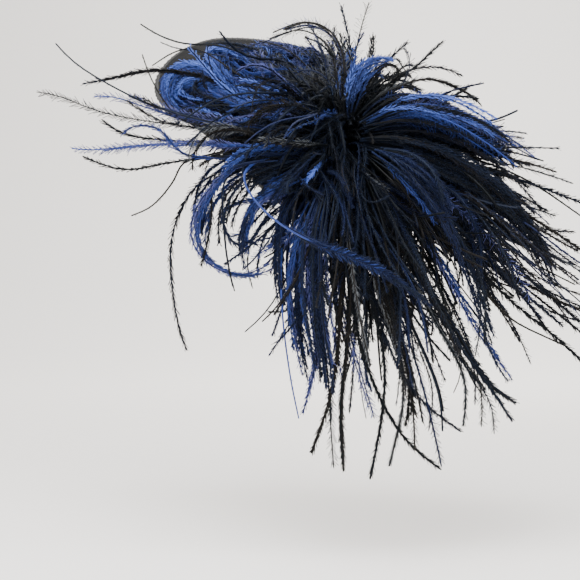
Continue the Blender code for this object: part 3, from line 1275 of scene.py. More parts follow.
BUNCHES = (
    # Lower tier
    Bunch("blue", 4.0, 11.0, 0.122, 0.25, 0.0, loose=0.16, other=0.7, kept=0.82),
    Bunch("black", 334.0, 11.0, 0.160, 0.25, 0.0, curl=0.85, other=0.35, ragged=1.3),
    Bunch("black", 304.0, 11.0, 0.168, 0.22, 0.0, curl=0.95, other=0.15, ragged=1.5),
    Bunch("black", 274.0, 11.0, 0.170, 0.15, 0.0, curl=0.95, other=0.15, ragged=1.4),
    Bunch("blue", 242.0, 11.0, 0.125, 0.20, 0.0, locks=8, wave=0.30, loose=0.25, other=0.3, mix=BLUE_MIX,
          kept=0.85, ragged=1.4),
    Bunch("blue", 211.0, 11.0, 0.100, 0.25, 0.0, locks=6, curl=1.2, wave=0.50, loose=0.30, other=0.3,
          mix=BLUE_MIX, kept=0.75, ragged=2.0),
    Bunch("black", 181.0, 11.0, 0.138, 0.08, 0.5, locks=7, members=2, fillers=22, curl=1.1, wave=0.45,
          loose=0.22, other=0.25, mix=BLUE_MIX, kept=0.80),
    Bunch("black", 156.0, 11.0, 0.100, 0.42, 0.8, fillers=16, curl=1.2, wave=0.45, other=0.65, mix=BRIGHT_MIX,
          kept=0.80),
    Bunch("blue", 104.0, 11.0, 0.064, 0.50, 0.6, other=0.7, mix=BLUE_MIX, kept=0.78),
    Bunch("black", 50.0, 11.0, 0.085, 0.50, 0.2, other=0.2, kept=0.74),
    # Upper tier
    Bunch("black", 5.0, 44.0, 0.118, 0.42, 0.0, loose=0.14, other=0.35, kept=0.86),
    Bunch("black", 335.0, 44.0, 0.150, 0.48, 0.0, fillers=22, other=0.35, ragged=1.3),
    Bunch("blue", 305.0, 44.0, 0.160, 0.51, 0.0, fillers=22, other=0.40, mix=NAVY_MIX, ragged=1.3),
    Bunch("black", 275.0, 44.0, 0.168, 0.55, 0.0, curl=0.85, other=0.2, ragged=1.4),
    Bunch("blue", 244.0, 44.0, 0.140, 0.54, 0.0, wave=0.25, loose=0.20, other=0.4, kept=0.9, ragged=1.3),
    Bunch("blue", 213.0, 44.0, 0.110, 0.54, 0.0, locks=8, curl=1.1, wave=0.45, loose=0.20, other=0.6,
          mix=NAVY_MIX, kept=0.85, ragged=1.8),
    Bunch("blue", 171.0, 44.0, 0.105, 0.60, 0.4, fillers=20, curl=1.2, wave=0.40, other=0.45, mix=BLUE_MIX),
    Bunch("black", 123.0, 44.0, 0.070, 0.55, 0.4, other=0.1, kept=0.82),
    Bunch("black", 64.0, 44.0, 0.072, 0.55, 0.2, kept=0.74),
    # Crest
    Bunch("black", 100.0, 80.0, 0.070, 0.50, 0.0, locks=12, fillers=50, curl=0.15, wave=0.08, kept=0.58),
)


def reach_at(lift: float, azimuth: np.ndarray) -> np.ndarray:
    """The reach of a tier at each azimuth, between its bunches' own lengths.

    Args:
        lift: The tier's lift in degrees.
        azimuth: Angles round the pad, in degrees.

    Returns:
        A length for each angle, in metres.
    """
    tier = sorted((bunch.azimuth, bunch.length) for bunch in BUNCHES if bunch.lift == lift)
    places, lengths = zip(*tier)
    return np.interp(azimuth, places, lengths, period=360.0)


@dataclass(frozen=True)
class Stream:
    """A few barbs that run together along a course read off the photograph.

    Each spot gives its place across and down in the photograph's frame, and then
    either its depth y or, where the stream lies on the base, its height above
    the dome, in millimetres.
    """

    mix: ToneMix
    kind: FringeKind
    count: int
    spread: float
    spots: tuple[Spot, ...]
    lies: bool = False
    radius: float = 0.00048

    steps: int = 22
    line_points: int = 64
    base_rise: float = 6.0
    least_height: float = 0.0010
    starts: Span = (0.0, 0.08)
    ends: Span = (0.78, 1.0)
    widest: float = 1.8
    drift: float = 0.5
    facing_scatter: float = 0.25
    radii: Span = (0.75, 1.15)

    def courses(self, rng: np.random.Generator) -> np.ndarray:
        """Points of every barb of the stream.

        Args:
            rng: The piece's random numbers.

        Returns:
            An array of barbs, points and three coordinates.
        """
        place = SIGHT.on_dome if self.lies else SIGHT.at_depth
        rise = self.base_rise if self.lies else 0.0
        spots = np.array([place(across, down, (third + rise) * MM) for across, down, third in self.spots])
        line = smooth_course(spots, self.line_points)
        share = np.linspace(0.0, 1.0, self.steps)[:, None]
        # The barbs of a stream spread from its root and draw together again at its tip
        gathered = np.sin(0.35 + 2.1 * share)
        paths = []
        for _ in range(self.count):
            start = rng.uniform(*self.starts) if self.count > 1 else 0.0
            end = rng.uniform(*self.ends) if self.count > 1 else 1.0
            path = resampled(line, np.linspace(start, end, self.steps) * (len(line) - 1))
            if self.count > 1:
                shift = rng.normal(0.0, 1.0, 3).clip(-self.widest, self.widest) * self.spread * MM
                drift = rng.normal(0.0, self.drift, 3) * self.spread * MM
                path = path + shift * gathered + drift * share ** 2
            paths.append(path)
        return ROOM.trim(settle(np.array(paths), self.least_height))

    def add_to(self, piece: BarbPiece) -> None:
        """Add the stream's barbs to a piece.

        Args:
            piece: The piece that gathers them.
        """
        courses = self.courses(piece.rng)
        count = len(courses)
        facing = unit(TOWARDS_VIEW + piece.rng.normal(0.0, self.facing_scatter, (count, 3)))
        radii = self.radius * piece.rng.uniform(*self.radii, count)
        piece.add(courses, radii, self.mix, self.kind.value, facing)


BARE, FUR, BRUSH = FringeKind.BARE, FringeKind.FUR, FringeKind.BRUSH
HERRING, FUZZ = FringeKind.HERRINGBONE, FringeKind.FUZZ

# Blue locks that swirl over the base
BLUE_SWIRLS = (
    Stream(BRIGHT_MIX, FUR, 16, 1.9, (
        (298, 134, 10), (262, 116, 8), (243, 103, 6), (232, 90, 6), (222, 74, 6), (211, 61, 5), (208, 54, 4),
        (222, 51, 4), (238, 56, 4), (250, 67, 4), (258, 78, 4)), True),
    Stream(BRIGHT_MIX, FUR, 16, 2.1, (
        (290, 128, 8), (250, 100, 5), (220, 78, 5), (202, 67, 5), (186, 65, 4), (172, 72, 4), (166, 86, 5),
        (167, 98, 6), (178, 107, 7), (190, 114, 7)), True),
    Stream(BRIGHT_MIX, FUR, 10, 2.4, (
        (300, 122, 8), (262, 100, 6), (228, 92, 5), (196, 84, 4), (178, 84, 4), (172, 94, 5), (182, 101, 6),
        (204, 103, 6)), True),
    Stream(BRIGHT_MIX, FUR, 6, 1.3, (
        (325, 102, 9), (300, 88, 7), (270, 86, 6), (246, 82, 5), (228, 76, 4)), True),
    Stream(BRIGHT_MIX, FUR, 10, 1.7, (
        (332, 96, 6), (318, 80, 2), (306, 69, 0), (293, 60, -2), (280, 53, -3)), True),
    Stream(BRIGHT_MIX, FUR, 9, 1.7, (
        (300, 134, 12), (268, 128, 10), (240, 120, 8), (220, 117, 7), (203, 110, 6), (194, 104, 6)), True),
    Stream(BRIGHT_MIX, FUR, 4, 1.0, ((262, 128, 12), (244, 124, 10), (230, 124, 9), (218, 128, 8)), True),
    Stream(BRIGHT_MIX, FUR, 5, 1.2, ((330, 126, 11), (315, 117, 10), (300, 106, 9), (288, 96, 8)), True),
    Stream(VIOLET_MIX, HERRING, 3, 1.6, (
        (300, 124, 10), (262, 108, 8), (230, 98, 7), (206, 90, 6), (190, 90, 6)), True),
    Stream(BLACK_MIX, FUR, 6, 2.4, (
        (318, 100, 8), (290, 72, 5), (262, 56, 2), (236, 49, -1), (214, 49, -2), (202, 54, -3)), True),
    Stream(BLACK_MIX, FUR, 4, 1.8, (
        (300, 112, 9), (270, 96, 6), (250, 82, 5), (238, 72, 5), (229, 66, 5), (224, 70, 5)), True),
    Stream(BLACK_MIX, FUR, 3, 1.8, (
        (290, 118, 10), (250, 110, 8), (222, 104, 6), (200, 96, 6), (192, 86, 6), (204, 80, 6),
        (216, 84, 6)), True),
    Stream(BLACK_MIX, FUR, 6, 2.0, (
        (310, 136, 14), (262, 130, 13), (225, 122, 11), (195, 117, 9), (172, 112, 8)), True),
    Stream(PAINTED_GLARE_MIX, FUZZ, 12, 4.0, (
        (322, 92, 10), (300, 78, 8), (280, 66, 7), (262, 58, 6), (246, 54, 6)), True),
)

# Blue loops and hanging locks at the lower left
BLUE_LOOPS = (
    Stream(VIOLET_MIX, FUR, 4, 1.8, (
        (280, 160, -60), (235, 165, -66), (209, 190, -66), (195, 212, -62), (191, 235, -60), (200, 255, -58),
        (215, 268, -56), (240, 278, -55), (266, 271, -55), (281, 260, -56), (285, 246, -58))),
    Stream(VIOLET_MIX, FUR, 3, 1.0, (
        (300, 180, -60), (262, 200, -64), (247, 220, -62), (244, 240, -60), (248, 254, -60))),
    Stream(VIOLET_MIX, HERRING, 2, 0.6, (
        (310, 200, -58), (290, 235, -58), (275, 247, -57), (262, 253, -57), (251, 263, -56))),
    Stream(BLUE_MIX, FUR, 2, 0.5, (
        (300, 190, -60), (270, 198, -62), (240, 202, -62), (226, 210, -60), (222, 222, -60))),
    Stream(BLUE_MIX, FUR, 2, 0.6, (
        (225, 190, -64), (222, 215, -62), (226, 236, -60), (237, 248, -60), (246, 243, -60), (262, 248, -58))),
    Stream(BRIGHT_MIX, FUR, 7, 1.8, (
        (330, 148, -34), (290, 148, -42), (262, 150, -52), (243, 157, -62), (230, 168, -66), (226, 184, -64),
        (224, 198, -62))),
    Stream(NAVY_MIX, FUR, 5, 1.4, ((320, 150, -44), (300, 165, -60), (278, 190, -64), (268, 210, -62))),
    Stream(VIOLET_MIX, FUR, 7, 2.2, (
        (270, 165, -50), (235, 175, -56), (212, 200, -56), (205, 225, -54), (200, 245, -52))),
    Stream(BRIGHT_MIX, FUR, 2, 0.6, (
        (332, 156, -36), (320, 164, -52), (311, 174, -64), (304, 184, -66), (298, 194, -64))),
    Stream(BLUE_MIX, FUR, 8, 2.6, (
        (320, 190, -50), (300, 240, -56), (292, 290, -54), (298, 340, -50), (310, 385, -46))),
    Stream(BLUE_MIX, FUR, 7, 2.6, (
        (325, 180, -54), (308, 230, -66), (306, 290, -66), (314, 345, -60), (322, 400, -52))),
    Stream(DEEP_MIX, FUR, 8, 3.0, (
        (330, 180, -56), (320, 240, -70), (322, 310, -68), (330, 370, -60), (334, 420, -52))),
    Stream(DEEP_MIX, FUR, 6, 2.4, ((310, 170, -50), (282, 215, -58), (276, 262, -56), (284, 310, -50))),
    Stream(BLUE_MIX, FUR, 5, 2.2, ((300, 165, -50), (262, 195, -60), (246, 232, -60), (246, 270, -54))),
    Stream(BLACK_MIX, FUR, 5, 2.2, ((300, 160, -50), (250, 180, -62), (228, 212, -62), (224, 250, -56))),
    Stream(NAVY_MIX, BARE, 12, 5.0, (
        (332, 170, -40), (306, 230, -48), (300, 290, -46), (306, 345, -42)), radius=0.0011),
    Stream(BLACK_MIX, BARE, 14, 6.0, (
        (344, 180, -38), (340, 240, -46), (346, 295, -46), (350, 345, -42)), radius=0.0012),
    Stream(DEEP_MIX, FUR, 6, 2.4, (
        (300, 155, -46), (245, 160, -58), (212, 178, -60), (198, 206, -58), (196, 236, -54))),
    Stream(VIOLET_MIX, FUR, 6, 2.4, (
        (330, 190, -52), (318, 240, -62), (318, 290, -62), (326, 340, -58), (336, 380, -54))),
)

# The long blue barb that crosses in front, and the blue bands beside it
BLUE_CROSSING = (
    Stream(PALE_MIX, BARE, 1, 0.0, (
        (310, 150, -38), (272, 156, -44), (250, 166, -60), (243, 182, -84), (258, 205, -92), (285, 228, -98),
        (335, 252, -103), (380, 270, -105)), radius=0.00080),
    Stream(NAVY_MIX, FUR, 2, 0.9, (
        (280, 222, -95), (315, 244, -101), (350, 256, -104), (385, 272, -105), (416, 291, -104),
        (438, 308, -100)), radius=0.00042),
    Stream(ROYAL_MIX, FUR, 2, 0.5, (
        (282, 224, -97), (315, 242, -102), (345, 253, -104), (380, 269, -105),
        (410, 288, -104)), radius=0.00042),
    Stream(ROYAL_MIX, HERRING, 3, 0.8, (
        (300, 236, -98), (322, 248, -102), (348, 257, -104), (376, 269, -105),
        (400, 283, -104)), radius=0.00042),
    Stream(NAVY_MIX, FUR, 12, 3.0, (
        (375, 150, -60), (400, 162, -76), (422, 180, -84), (438, 200, -86), (450, 222, -84))),
    Stream(DEEP_MIX, FUR, 3, 2.4, (
        (390, 152, -62), (412, 172, -80), (434, 200, -88), (450, 232, -88), (460, 262, -82))),
    Stream(BLACK_MIX, BARE, 14, 7.0, (
        (356, 180, -38), (376, 240, -46), (392, 290, -44), (404, 330, -40)), radius=0.0012),
    Stream(BLACK_MIX, BARE, 5, 6.0, (
        (362, 170, -38), (400, 212, -46), (434, 260, -44), (456, 308, -40)), radius=0.0012),
    Stream(BLACK_MIX, FUR, 14, 4.2, (
        (360, 134, -40), (405, 122, -50), (450, 132, -52), (490, 150, -48), (516, 168, -42))),
    Stream(BLACK_MIX, FUR, 16, 4.2, (
        (360, 130, -36), (405, 120, -44), (445, 127, -46), (482, 142, -42), (508, 158, -36))),
    Stream(NAVY_MIX, FUR, 12, 3.4, (
        (364, 128, -40), (408, 118, -50), (446, 124, -52), (478, 136, -48), (500, 150, -42))),
    Stream(BLACK_MIX, FUR, 14, 4.5, (
        (360, 140, -40), (410, 143, -52), (460, 162, -54), (505, 192, -50), (535, 222, -44))),
    Stream(BLACK_MIX, HERRING, 7, 2.6, (
        (362, 145, -40), (420, 160, -54), (480, 186, -54), (524, 226, -48), (548, 276, -42))),
    Stream(BLACK_MIX, FUR, 12, 2.2, (
        (362, 145, -40), (430, 162, -54), (500, 198, -50), (538, 240, -44), (558, 290, -38))),
    Stream(BRIGHT_MIX, FUR, 7, 4.6, (
        (365, 124, -44), (405, 112, -56), (448, 116, -60), (488, 132, -56), (516, 150, -50))),
    Stream(VIOLET_MIX, FUZZ, 8, 4.8, (
        (364, 124, -40), (388, 112, -50), (415, 108, -58), (448, 116, -62), (482, 132, -58), (512, 150, -50),
        (536, 166, -44))),
    Stream(BLACK_MIX, FUR, 4, 4.0, (
        (365, 124, -44), (405, 112, -59), (448, 116, -63), (488, 132, -59), (522, 154, -50))),
    Stream(BRIGHT_MIX, FUR, 10, 2.6, (
        (350, 118, -36), (356, 92, -44), (366, 74, -44), (382, 66, -40), (396, 70, -40))),
    Stream(BRIGHT_MIX, FUR, 6, 1.8, ((345, 112, -34), (344, 84, -40), (350, 62, -40), (358, 48, -38))),
    Stream(NAVY_MIX, FUR, 4, 2.2, (
        (380, 160, -54), (426, 190, -70), (460, 240, -72), (482, 300, -66), (496, 350, -58), (513, 380, -54))),
    Stream(VIOLET_MIX, FUZZ, 1, 0.0, ((400, 170, -50), (460, 210, -60), (505, 255, -60), (533, 303, -55))),
    Stream(VIOLET_MIX, FUR, 2, 0.8, (
        (400, 200, -50), (440, 260, -60), (475, 325, -58), (498, 356, -54), (515, 381, -50))),
    Stream(VIOLET_MIX, HERRING, 2, 0.7, ((330, 230, -58), (345, 320, -60), (365, 390, -56), (378, 431, -52))),
    Stream(VIOLET_MIX, BARE, 1, 0.0, (
        (282, 246, -56), (281, 285, -58), (284, 330, -58), (291, 380, -54), (299, 419, -52)), radius=0.0005),
    Stream(VIOLET_MIX, FUR, 3, 1.2, (
        (316, 240, -58), (320, 300, -60), (318, 350, -58), (308, 392, -54), (300, 418, -52))),
)

# Black barbs that stand clear on the left and the lower left
BLACK_WISPS = (
    Stream(BLACK_MIX, HERRING, 1, 0.0, (
        (300, 140, -36), (200, 128, -52), (145, 121, -60), (98, 112, -64), (77, 103, -66), (58, 95, -66),
        (36, 92, -66))),
    Stream(BLACK_MIX, BARE, 1, 0.0, (
        (300, 138, -36), (210, 122, -50), (150, 105, -56), (97, 78, -62), (70, 60, -64),
        (55, 43, -64)), radius=0.00056),
    Stream(BLACK_MIX, FUR, 2, 0.5, (
        (290, 116, -20), (215, 80, -14), (175, 71, -26), (145, 70, -40), (120, 76, -50), (78, 84, -52))),
    Stream(VIOLET_MIX, HERRING, 2, 0.8, (
        (290, 130, -36), (200, 118, -50), (150, 106, -56), (115, 94, -58), (90, 94, -60))),
    Stream(BLACK_MIX, FUR, 3, 1.6, (
        (300, 136, -30), (220, 124, -40), (165, 112, -52), (125, 88, -58), (104, 80, -60)), radius=0.00040),
    Stream(BLACK_MIX, FUR, 1, 0.0, (
        (300, 142, -38), (200, 142, -56), (150, 139, -60), (122, 134, -62), (110, 128, -62),
        (101, 119, -62)), radius=0.00056),
    Stream(BRIGHT_MIX, FUR, 1, 0.0, (
        (240, 160, -62), (187, 156, -66), (174, 146, -66), (162, 131, -64), (145, 125, -62), (130, 127, -62),
        (122, 134, -62)), radius=0.00056),
    Stream(VIOLET_MIX, HERRING, 2, 0.4, (
        (300, 146, -38), (210, 145, -56), (165, 144, -60), (120, 148, -62), (95, 151, -62), (67, 148, -62))),
    Stream(BLACK_MIX, FUR, 1, 0.0, (
        (300, 150, -38), (230, 156, -54), (180, 161, -60), (155, 165, -62), (128, 171, -62), (100, 164, -62),
        (82, 156, -62)), radius=0.00070),
    Stream(BLACK_MIX, BARE, 1, 0.0, (
        (230, 150, -50), (184, 162, -56), (177, 176, -56), (165, 193, -56), (150, 208, -54),
        (131, 216, -52)), radius=0.00060),
    Stream(BLACK_MIX, BARE, 1, 0.0, (
        (240, 130, -46), (190, 124, -52), (172, 112, -52), (158, 92, -52), (148, 72, -50),
        (142, 54, -48)), radius=0.00056),
    Stream(BLACK_MIX, BARE, 1, 0.0, ((240, 76, -20), (200, 50, -22), (175, 52, -24), (152, 66, -26))),
    Stream(BLACK_MIX, BARE, 1, 0.0, (
        (260, 60, -10), (220, 46, -14), (185, 44, -18), (160, 36, -22), (140, 24, -24)), radius=0.00056),
    Stream(BLACK_MIX, BARE, 1, 0.0, ((240, 60, -14), (200, 52, -20), (175, 48, -24), (160, 42, -26))),
    Stream(BLACK_MIX, FUR, 1, 0.0, (
        (260, 160, -54), (220, 172, -60), (199, 182, -62), (183, 204, -62), (171, 240, -60), (172, 285, -58),
        (178, 325, -56), (187, 351, -54)), radius=0.00056),
    Stream(BLACK_MIX, FUR, 1, 0.0, (
        (250, 165, -56), (214, 185, -64), (212, 215, -64), (207, 245, -62), (201, 267, -60)), radius=0.00056),
    Stream(BLACK_MIX, BARE, 2, 0.5, (
        (240, 160, -60), (222, 185, -70), (222, 215, -70), (225, 250, -66), (231, 280, -64), (238, 302, -62),
        (245, 320, -60)), radius=0.00056),
    Stream(BLACK_MIX, BARE, 1, 0.0, (
        (320, 215, -64), (304, 262, -68), (292, 285, -68), (276, 308, -66), (262, 322, -64)), radius=0.00056),
    Stream(PAINTED_GLINT_MIX, HERRING, 3, 1.2, (
        (262, 136, -56), (235, 128, -64), (212, 130, -66), (198, 142, -66), (192, 158, -66), (192, 171, -66))),
    Stream(PAINTED_GLINT_MIX, HERRING, 2, 1.2, (
        (330, 118, -46), (290, 108, -58), (264, 112, -64), (250, 125, -66), (246, 140, -66))),
    Stream(PAINTED_GLINT_MIX, FUR, 2, 1.2, ((330, 146, -48), (290, 144, -62), (262, 141, -68), (238, 144, -70))),
)

# Fuzzy black barbs that spring up at the top
BLACK_FOUNTAIN = (
    Stream(PAINTED_GLARE_MIX, FUZZ, 5, 1.5, (
        (342, 128, -34), (342, 90, -40), (340, 60, -40), (330, 38, -38), (308, 26, -34), (284, 32, -28),
        (256, 44, -24)), radius=0.00064),
    Stream(PAINTED_GLARE_MIX, FUZZ, 3, 1.8, (
        (344, 126, -34), (334, 90, -40), (330, 62, -40), (318, 44, -38), (300, 36, -36)), radius=0.00060),
    Stream(BLACK_MIX, FUZZ, 1, 0.0, (
        (346, 120, -34), (352, 80, -38), (356, 50, -38), (362, 24, -36), (369, 2, -34))),
    Stream(BLUE_MIX, FUR, 1, 0.0, ((345, 120, -34), (352, 70, -38), (349, 40, -38), (341, 5, -34))),
    Stream(BLACK_MIX, FUR, 1, 0.0, ((344, 120, -34), (346, 80, -38), (344, 55, -38), (340, 33, -36))),
    Stream(BLACK_MIX, FUR, 2, 0.8, ((350, 120, -34), (366, 80, -38), (372, 55, -38), (373, 36, -36))),
    Stream(BLACK_MIX, FUR, 1, 0.0, ((350, 120, -34), (372, 84, -38), (386, 62, -38), (408, 42, -36))),
    Stream(BLACK_MIX, FUR, 1, 0.0, ((352, 120, -34), (382, 88, -38), (414, 68, -38), (443, 41, -36))),
    Stream(PAINTED_GLINT_MIX, FUR, 2, 0.4, (
        (352, 120, -36), (378, 96, -44), (400, 86, -46), (429, 79, -46), (465, 92, -44), (480, 105, -42),
        (484, 118, -42), (484, 132, -42))),
    Stream(PAINTED_GLINT_MIX, FUR, 2, 0.5, (
        (356, 124, -38), (388, 102, -46), (415, 97, -48), (440, 102, -48), (462, 112, -46), (476, 122, -44))),
    Stream(BLACK_MIX, BARE, 1, 0.0, (
        (380, 112, -44), (424, 108, -50), (450, 119, -50), (480, 122, -46), (500, 118, -42),
        (518, 110, -38)), radius=0.00078),
    Stream(BLUE_MIX, HERRING, 1, 0.0, (
        (362, 112, -38), (385, 96, -44), (403, 84, -44), (410, 66, -42), (408, 52, -40), (404, 47, -40))),
    Stream(BLACK_MIX, FUZZ, 3, 1.2, (
        (352, 118, -36), (360, 94, -40), (372, 72, -42), (386, 62, -42), (396, 66, -40), (397, 76, -40),
        (389, 80, -40))),
    Stream(PAINTED_GLARE_MIX, FUZZ, 9, 4.4, ((340, 120, -30), (326, 92, -34), (312, 76, -30), (296, 70, -26))),
)

# Black barbs that stand clear on the right and below
BLACK_TAIL = (
    Stream(BLACK_MIX, BARE, 1, 0.0, (
        (360, 140, -36), (430, 150, -52), (500, 150, -50), (544, 161, -44)), radius=0.00080),
    Stream(BLACK_MIX, BRUSH, 1, 0.0, (
        (360, 142, -36), (440, 160, -52), (520, 180, -46), (590, 206, -36)), radius=0.00080),
    Stream(BLACK_MIX, BARE, 1, 0.0, (
        (360, 142, -36), (440, 150, -52), (520, 176, -46), (590, 222, -36)), radius=0.00080),
    Stream(BLACK_MIX, BRUSH, 1, 0.0, (
        (360, 144, -36), (440, 166, -54), (520, 210, -46), (600, 262, -36)), radius=0.00080),
    Stream(BLACK_MIX, BARE, 1, 0.0, (
        (362, 150, -38), (430, 190, -56), (510, 250, -48), (576, 285, -38)), radius=0.0006),
    Stream(BLACK_MIX, BRUSH, 1, 0.0, (
        (362, 150, -38), (430, 190, -56), (520, 270, -50), (590, 330, -40)), radius=0.00080),
    Stream(BLACK_MIX, BRUSH, 1, 0.0, (
        (362, 152, -38), (430, 200, -56), (510, 280, -50), (564, 327, -42)), radius=0.00080),
    Stream(BLACK_MIX, BARE, 1, 0.0, (
        (362, 152, -38), (420, 210, -56), (500, 310, -52), (536, 332, -48), (566, 346, -44)), radius=0.00080),
    Stream(BLACK_MIX, BRUSH, 1, 0.0, (
        (362, 152, -38), (430, 220, -58), (510, 300, -52), (560, 340, -46), (592, 372, -42)), radius=0.00080),
    Stream(BLACK_MIX, BRUSH, 2, 0.8, (
        (360, 160, -40), (400, 240, -62), (450, 320, -60), (490, 385, -54), (522, 405, -48)), radius=0.00080),
    Stream(BLACK_MIX, BRUSH, 1, 0.0, (
        (360, 160, -40), (400, 240, -62), (450, 330, -60), (492, 390, -54), (513, 422, -48)), radius=0.00080),
    Stream(BLACK_MIX, HERRING, 2, 0.8, (
        (360, 160, -40), (400, 250, -62), (455, 350, -58), (492, 400, -52), (495, 436, -48))),
    Stream(BLACK_MIX, BRUSH, 1, 0.0, (
        (360, 160, -40), (395, 250, -62), (440, 330, -60), (466, 380, -54), (463, 427, -48)), radius=0.00080),
    Stream(BLACK_MIX, FUZZ, 2, 0.6, (
        (358, 165, -40), (385, 260, -64), (420, 340, -62), (440, 390, -56), (444, 430, -50),
        (441, 472, -46)), radius=0.00090),
    Stream(BLACK_MIX, HERRING, 1, 0.0, (
        (358, 165, -40), (384, 260, -64), (415, 340, -60), (434, 390, -54), (428, 432, -50))),
    Stream(BLACK_MIX, BRUSH, 2, 0.8, (
        (356, 170, -40), (376, 270, -64), (405, 350, -60), (412, 400, -54), (397, 470, -48)), radius=0.00080),
    Stream(BLACK_MIX, BRUSH, 1, 0.0, (
        (356, 170, -40), (372, 270, -64), (398, 350, -60), (404, 400, -54), (389, 467, -48)), radius=0.00080),
    Stream(BLACK_MIX, BRUSH, 1, 0.0, (
        (354, 170, -40), (364, 270, -64), (384, 350, -60), (383, 410, -54), (370, 480, -48)), radius=0.00080),
    Stream(BLACK_MIX, BRUSH, 2, 0.9, (
        (350, 170, -40), (350, 270, -62), (346, 350, -60), (340, 410, -54), (346, 495, -48)), radius=0.00080),
    Stream(BLACK_MIX, HERRING, 1, 0.0, (
        (350, 170, -40), (346, 270, -62), (338, 350, -60), (330, 400, -54), (334, 469, -48))),
    Stream(BLACK_MIX, BRUSH, 1, 0.0, (
        (348, 170, -40), (342, 270, -62), (338, 350, -60), (330, 400, -54), (311, 454, -48)), radius=0.00080),
    Stream(BLACK_MIX, BRUSH, 1, 0.0, (
        (352, 170, -40), (366, 270, -62), (390, 350, -60), (420, 400, -54), (462, 432, -48)), radius=0.00080),
    Stream(BLACK_MIX, BRUSH, 1, 0.0, (
        (352, 170, -40), (350, 290, -62), (372, 380, -60), (405, 440, -54), (442, 470, -48)), radius=0.00080),
)


@dataclass(frozen=True)
class BaseFluff:
    """Curly locks that wander over the base from the pad towards the narrow end."""

    name: str
    slot: str
    mixes: tuple[ToneMix, ...]
    seed: int
    locks: int = 12
    members: int = 6
    steps: int = 20
    lengths: Span = (0.045, 0.090)
    heights: Span = (0.002, 0.020)
    wall_gap: float = 0.0015
    start_u: Span = (-0.030, 0.030)
    start_v: Span = (-0.032, 0.036)
    heading_scatter: float = 0.5
    swings: Span = (0.7, 1.9)
    wave_turns: Span = (0.6, 1.3)
    wave_phase: float = 0.8
    arch: Span = (0.12, 0.80)
    furthest_u: Span = (-0.076, 0.070)
    furthest_v: float = 0.020
    side_margin: float = 0.002
    narrow_reach: float = 0.021
    lock_width: float = 0.0028
    ripple: float = 0.0014
    ripple_turn: float = 9.0
    least_height: float = 0.0010
    eased: int = 4
    facing_scatter: float = 0.5
    radii: Span = (0.00034, 0.00052)

    def courses(self, rng: np.random.Generator) -> np.ndarray:
        """Points of every barb, lock by lock.

        Args:
            rng: The piece's random numbers.

        Returns:
            An array of barbs, points and three coordinates.
        """
        locks, steps = self.locks, self.steps
        u = rng.uniform(*self.start_u, locks)
        v = rng.uniform(*self.start_v, locks)
        angle = math.pi + rng.normal(0.0, self.heading_scatter, locks)
        length = rng.uniform(*self.lengths, locks)
        swing = rng.uniform(*self.swings, locks) * rng.choice((-1.0, 1.0), locks)
        turns = rng.uniform(*self.wave_turns, locks)
        phase = rng.uniform(-self.wave_phase, self.wave_phase, locks)
        height = rng.uniform(*self.heights, locks)
        wide_u, narrow_u = SEAT.ends()
        paths = np.empty((locks, steps, 3))
        for step in range(steps):
            share = step / (steps - 1)
            arch = math.sin(math.pi * (self.arch[0] + self.arch[1] * share))
            for lock in range(locks):
                lift = height[lock] * arch + SEAT.wall + self.wall_gap
                paths[lock, step] = SEAT.point(float(u[lock]), float(v[lock]), lift)
            heading = angle + swing * np.sin(2.0 * math.pi * turns * share + phase)
            u = np.clip(u + np.cos(heading) * length / steps, *self.furthest_u)
            widening = np.clip((u - narrow_u) / (wide_u - narrow_u), 0.0, 1.0)
            limit = SEAT.narrow_radius + (SEAT.wide_radius - SEAT.narrow_radius) * widening + self.side_margin
            v = np.clip(v + np.sin(heading) * length / steps, -limit, np.minimum(limit, self.furthest_v))
            beyond = np.minimum(u - narrow_u, 0.0)
            shrink = np.minimum(1.0, self.narrow_reach / np.maximum(np.hypot(beyond, v), 1e-6))
            u = np.where(beyond < 0.0, narrow_u + beyond * shrink, u)
            v = np.where(beyond < 0.0, v * shrink, v)
        middle = np.repeat(paths, self.members, axis=0)
        share = np.linspace(0.0, 1.0, steps)
        shift = rng.normal(0.0, self.lock_width, (len(middle), 1, 3))
        ripple = rng.normal(0.0, self.ripple, (len(middle), 1, 3))
        phases = rng.uniform(0.0, 2.0 * math.pi, (len(middle), 1, 1))
        # The barbs of a lock lie furthest apart in its middle
        gathered = (0.6 + 0.8 * np.sin(math.pi * share))[None, :, None]
        waves = np.sin(self.ripple_turn * share[None, :, None] + phases)
        return ROOM.trim(settle(middle + shift * gathered + ripple * waves, self.least_height, self.eased))

    def build(self, material: bpy.types.Material) -> bpy.types.Object:
        """Build the piece.

        Args:
            material: Its finish.

        Returns:
            The finished piece.
        """
        piece = BarbPiece(self.name, self.seed)
        courses = self.courses(piece.rng)
        count = len(courses)
        facing = unit(np.array(SEAT.axes()[2]) + piece.rng.normal(0.0, self.facing_scatter, (count, 3)))
        radii = piece.rng.uniform(*self.radii, count)
        lock = np.arange(count) // self.members
        for index, mix in enumerate(self.mixes):
            chosen = lock % len(self.mixes) == index
            piece.add(courses[chosen], radii[chosen], mix, FringeKind.DOWN.value, facing[chosen])
        return piece.make(material, self.slot)


BASE_FLUFF = (
    BaseFluff("black_fluff", "black_feather", (BLACK_MIX, BLUE_MIX), 201, heights=(0.001, 0.007)),
    BaseFluff("blue_fluff", "blue_feather", (BLUE_MIX, BRIGHT_MIX), 202, heights=(0.002, 0.012)),
)


@dataclass(frozen=True)
class StreamPiece:
    """A named piece made of streams."""

    name: str
    slot: str
    streams: tuple[Stream, ...]
    seed: int

    def build(self, material: bpy.types.Material) -> bpy.types.Object:
        """Build the piece.

        Args:
            material: Its finish.

        Returns:
            The finished piece.
        """
        piece = BarbPiece(self.name, self.seed)
        for stream in self.streams:
            stream.add_to(piece)
        return piece.make(material, self.slot)


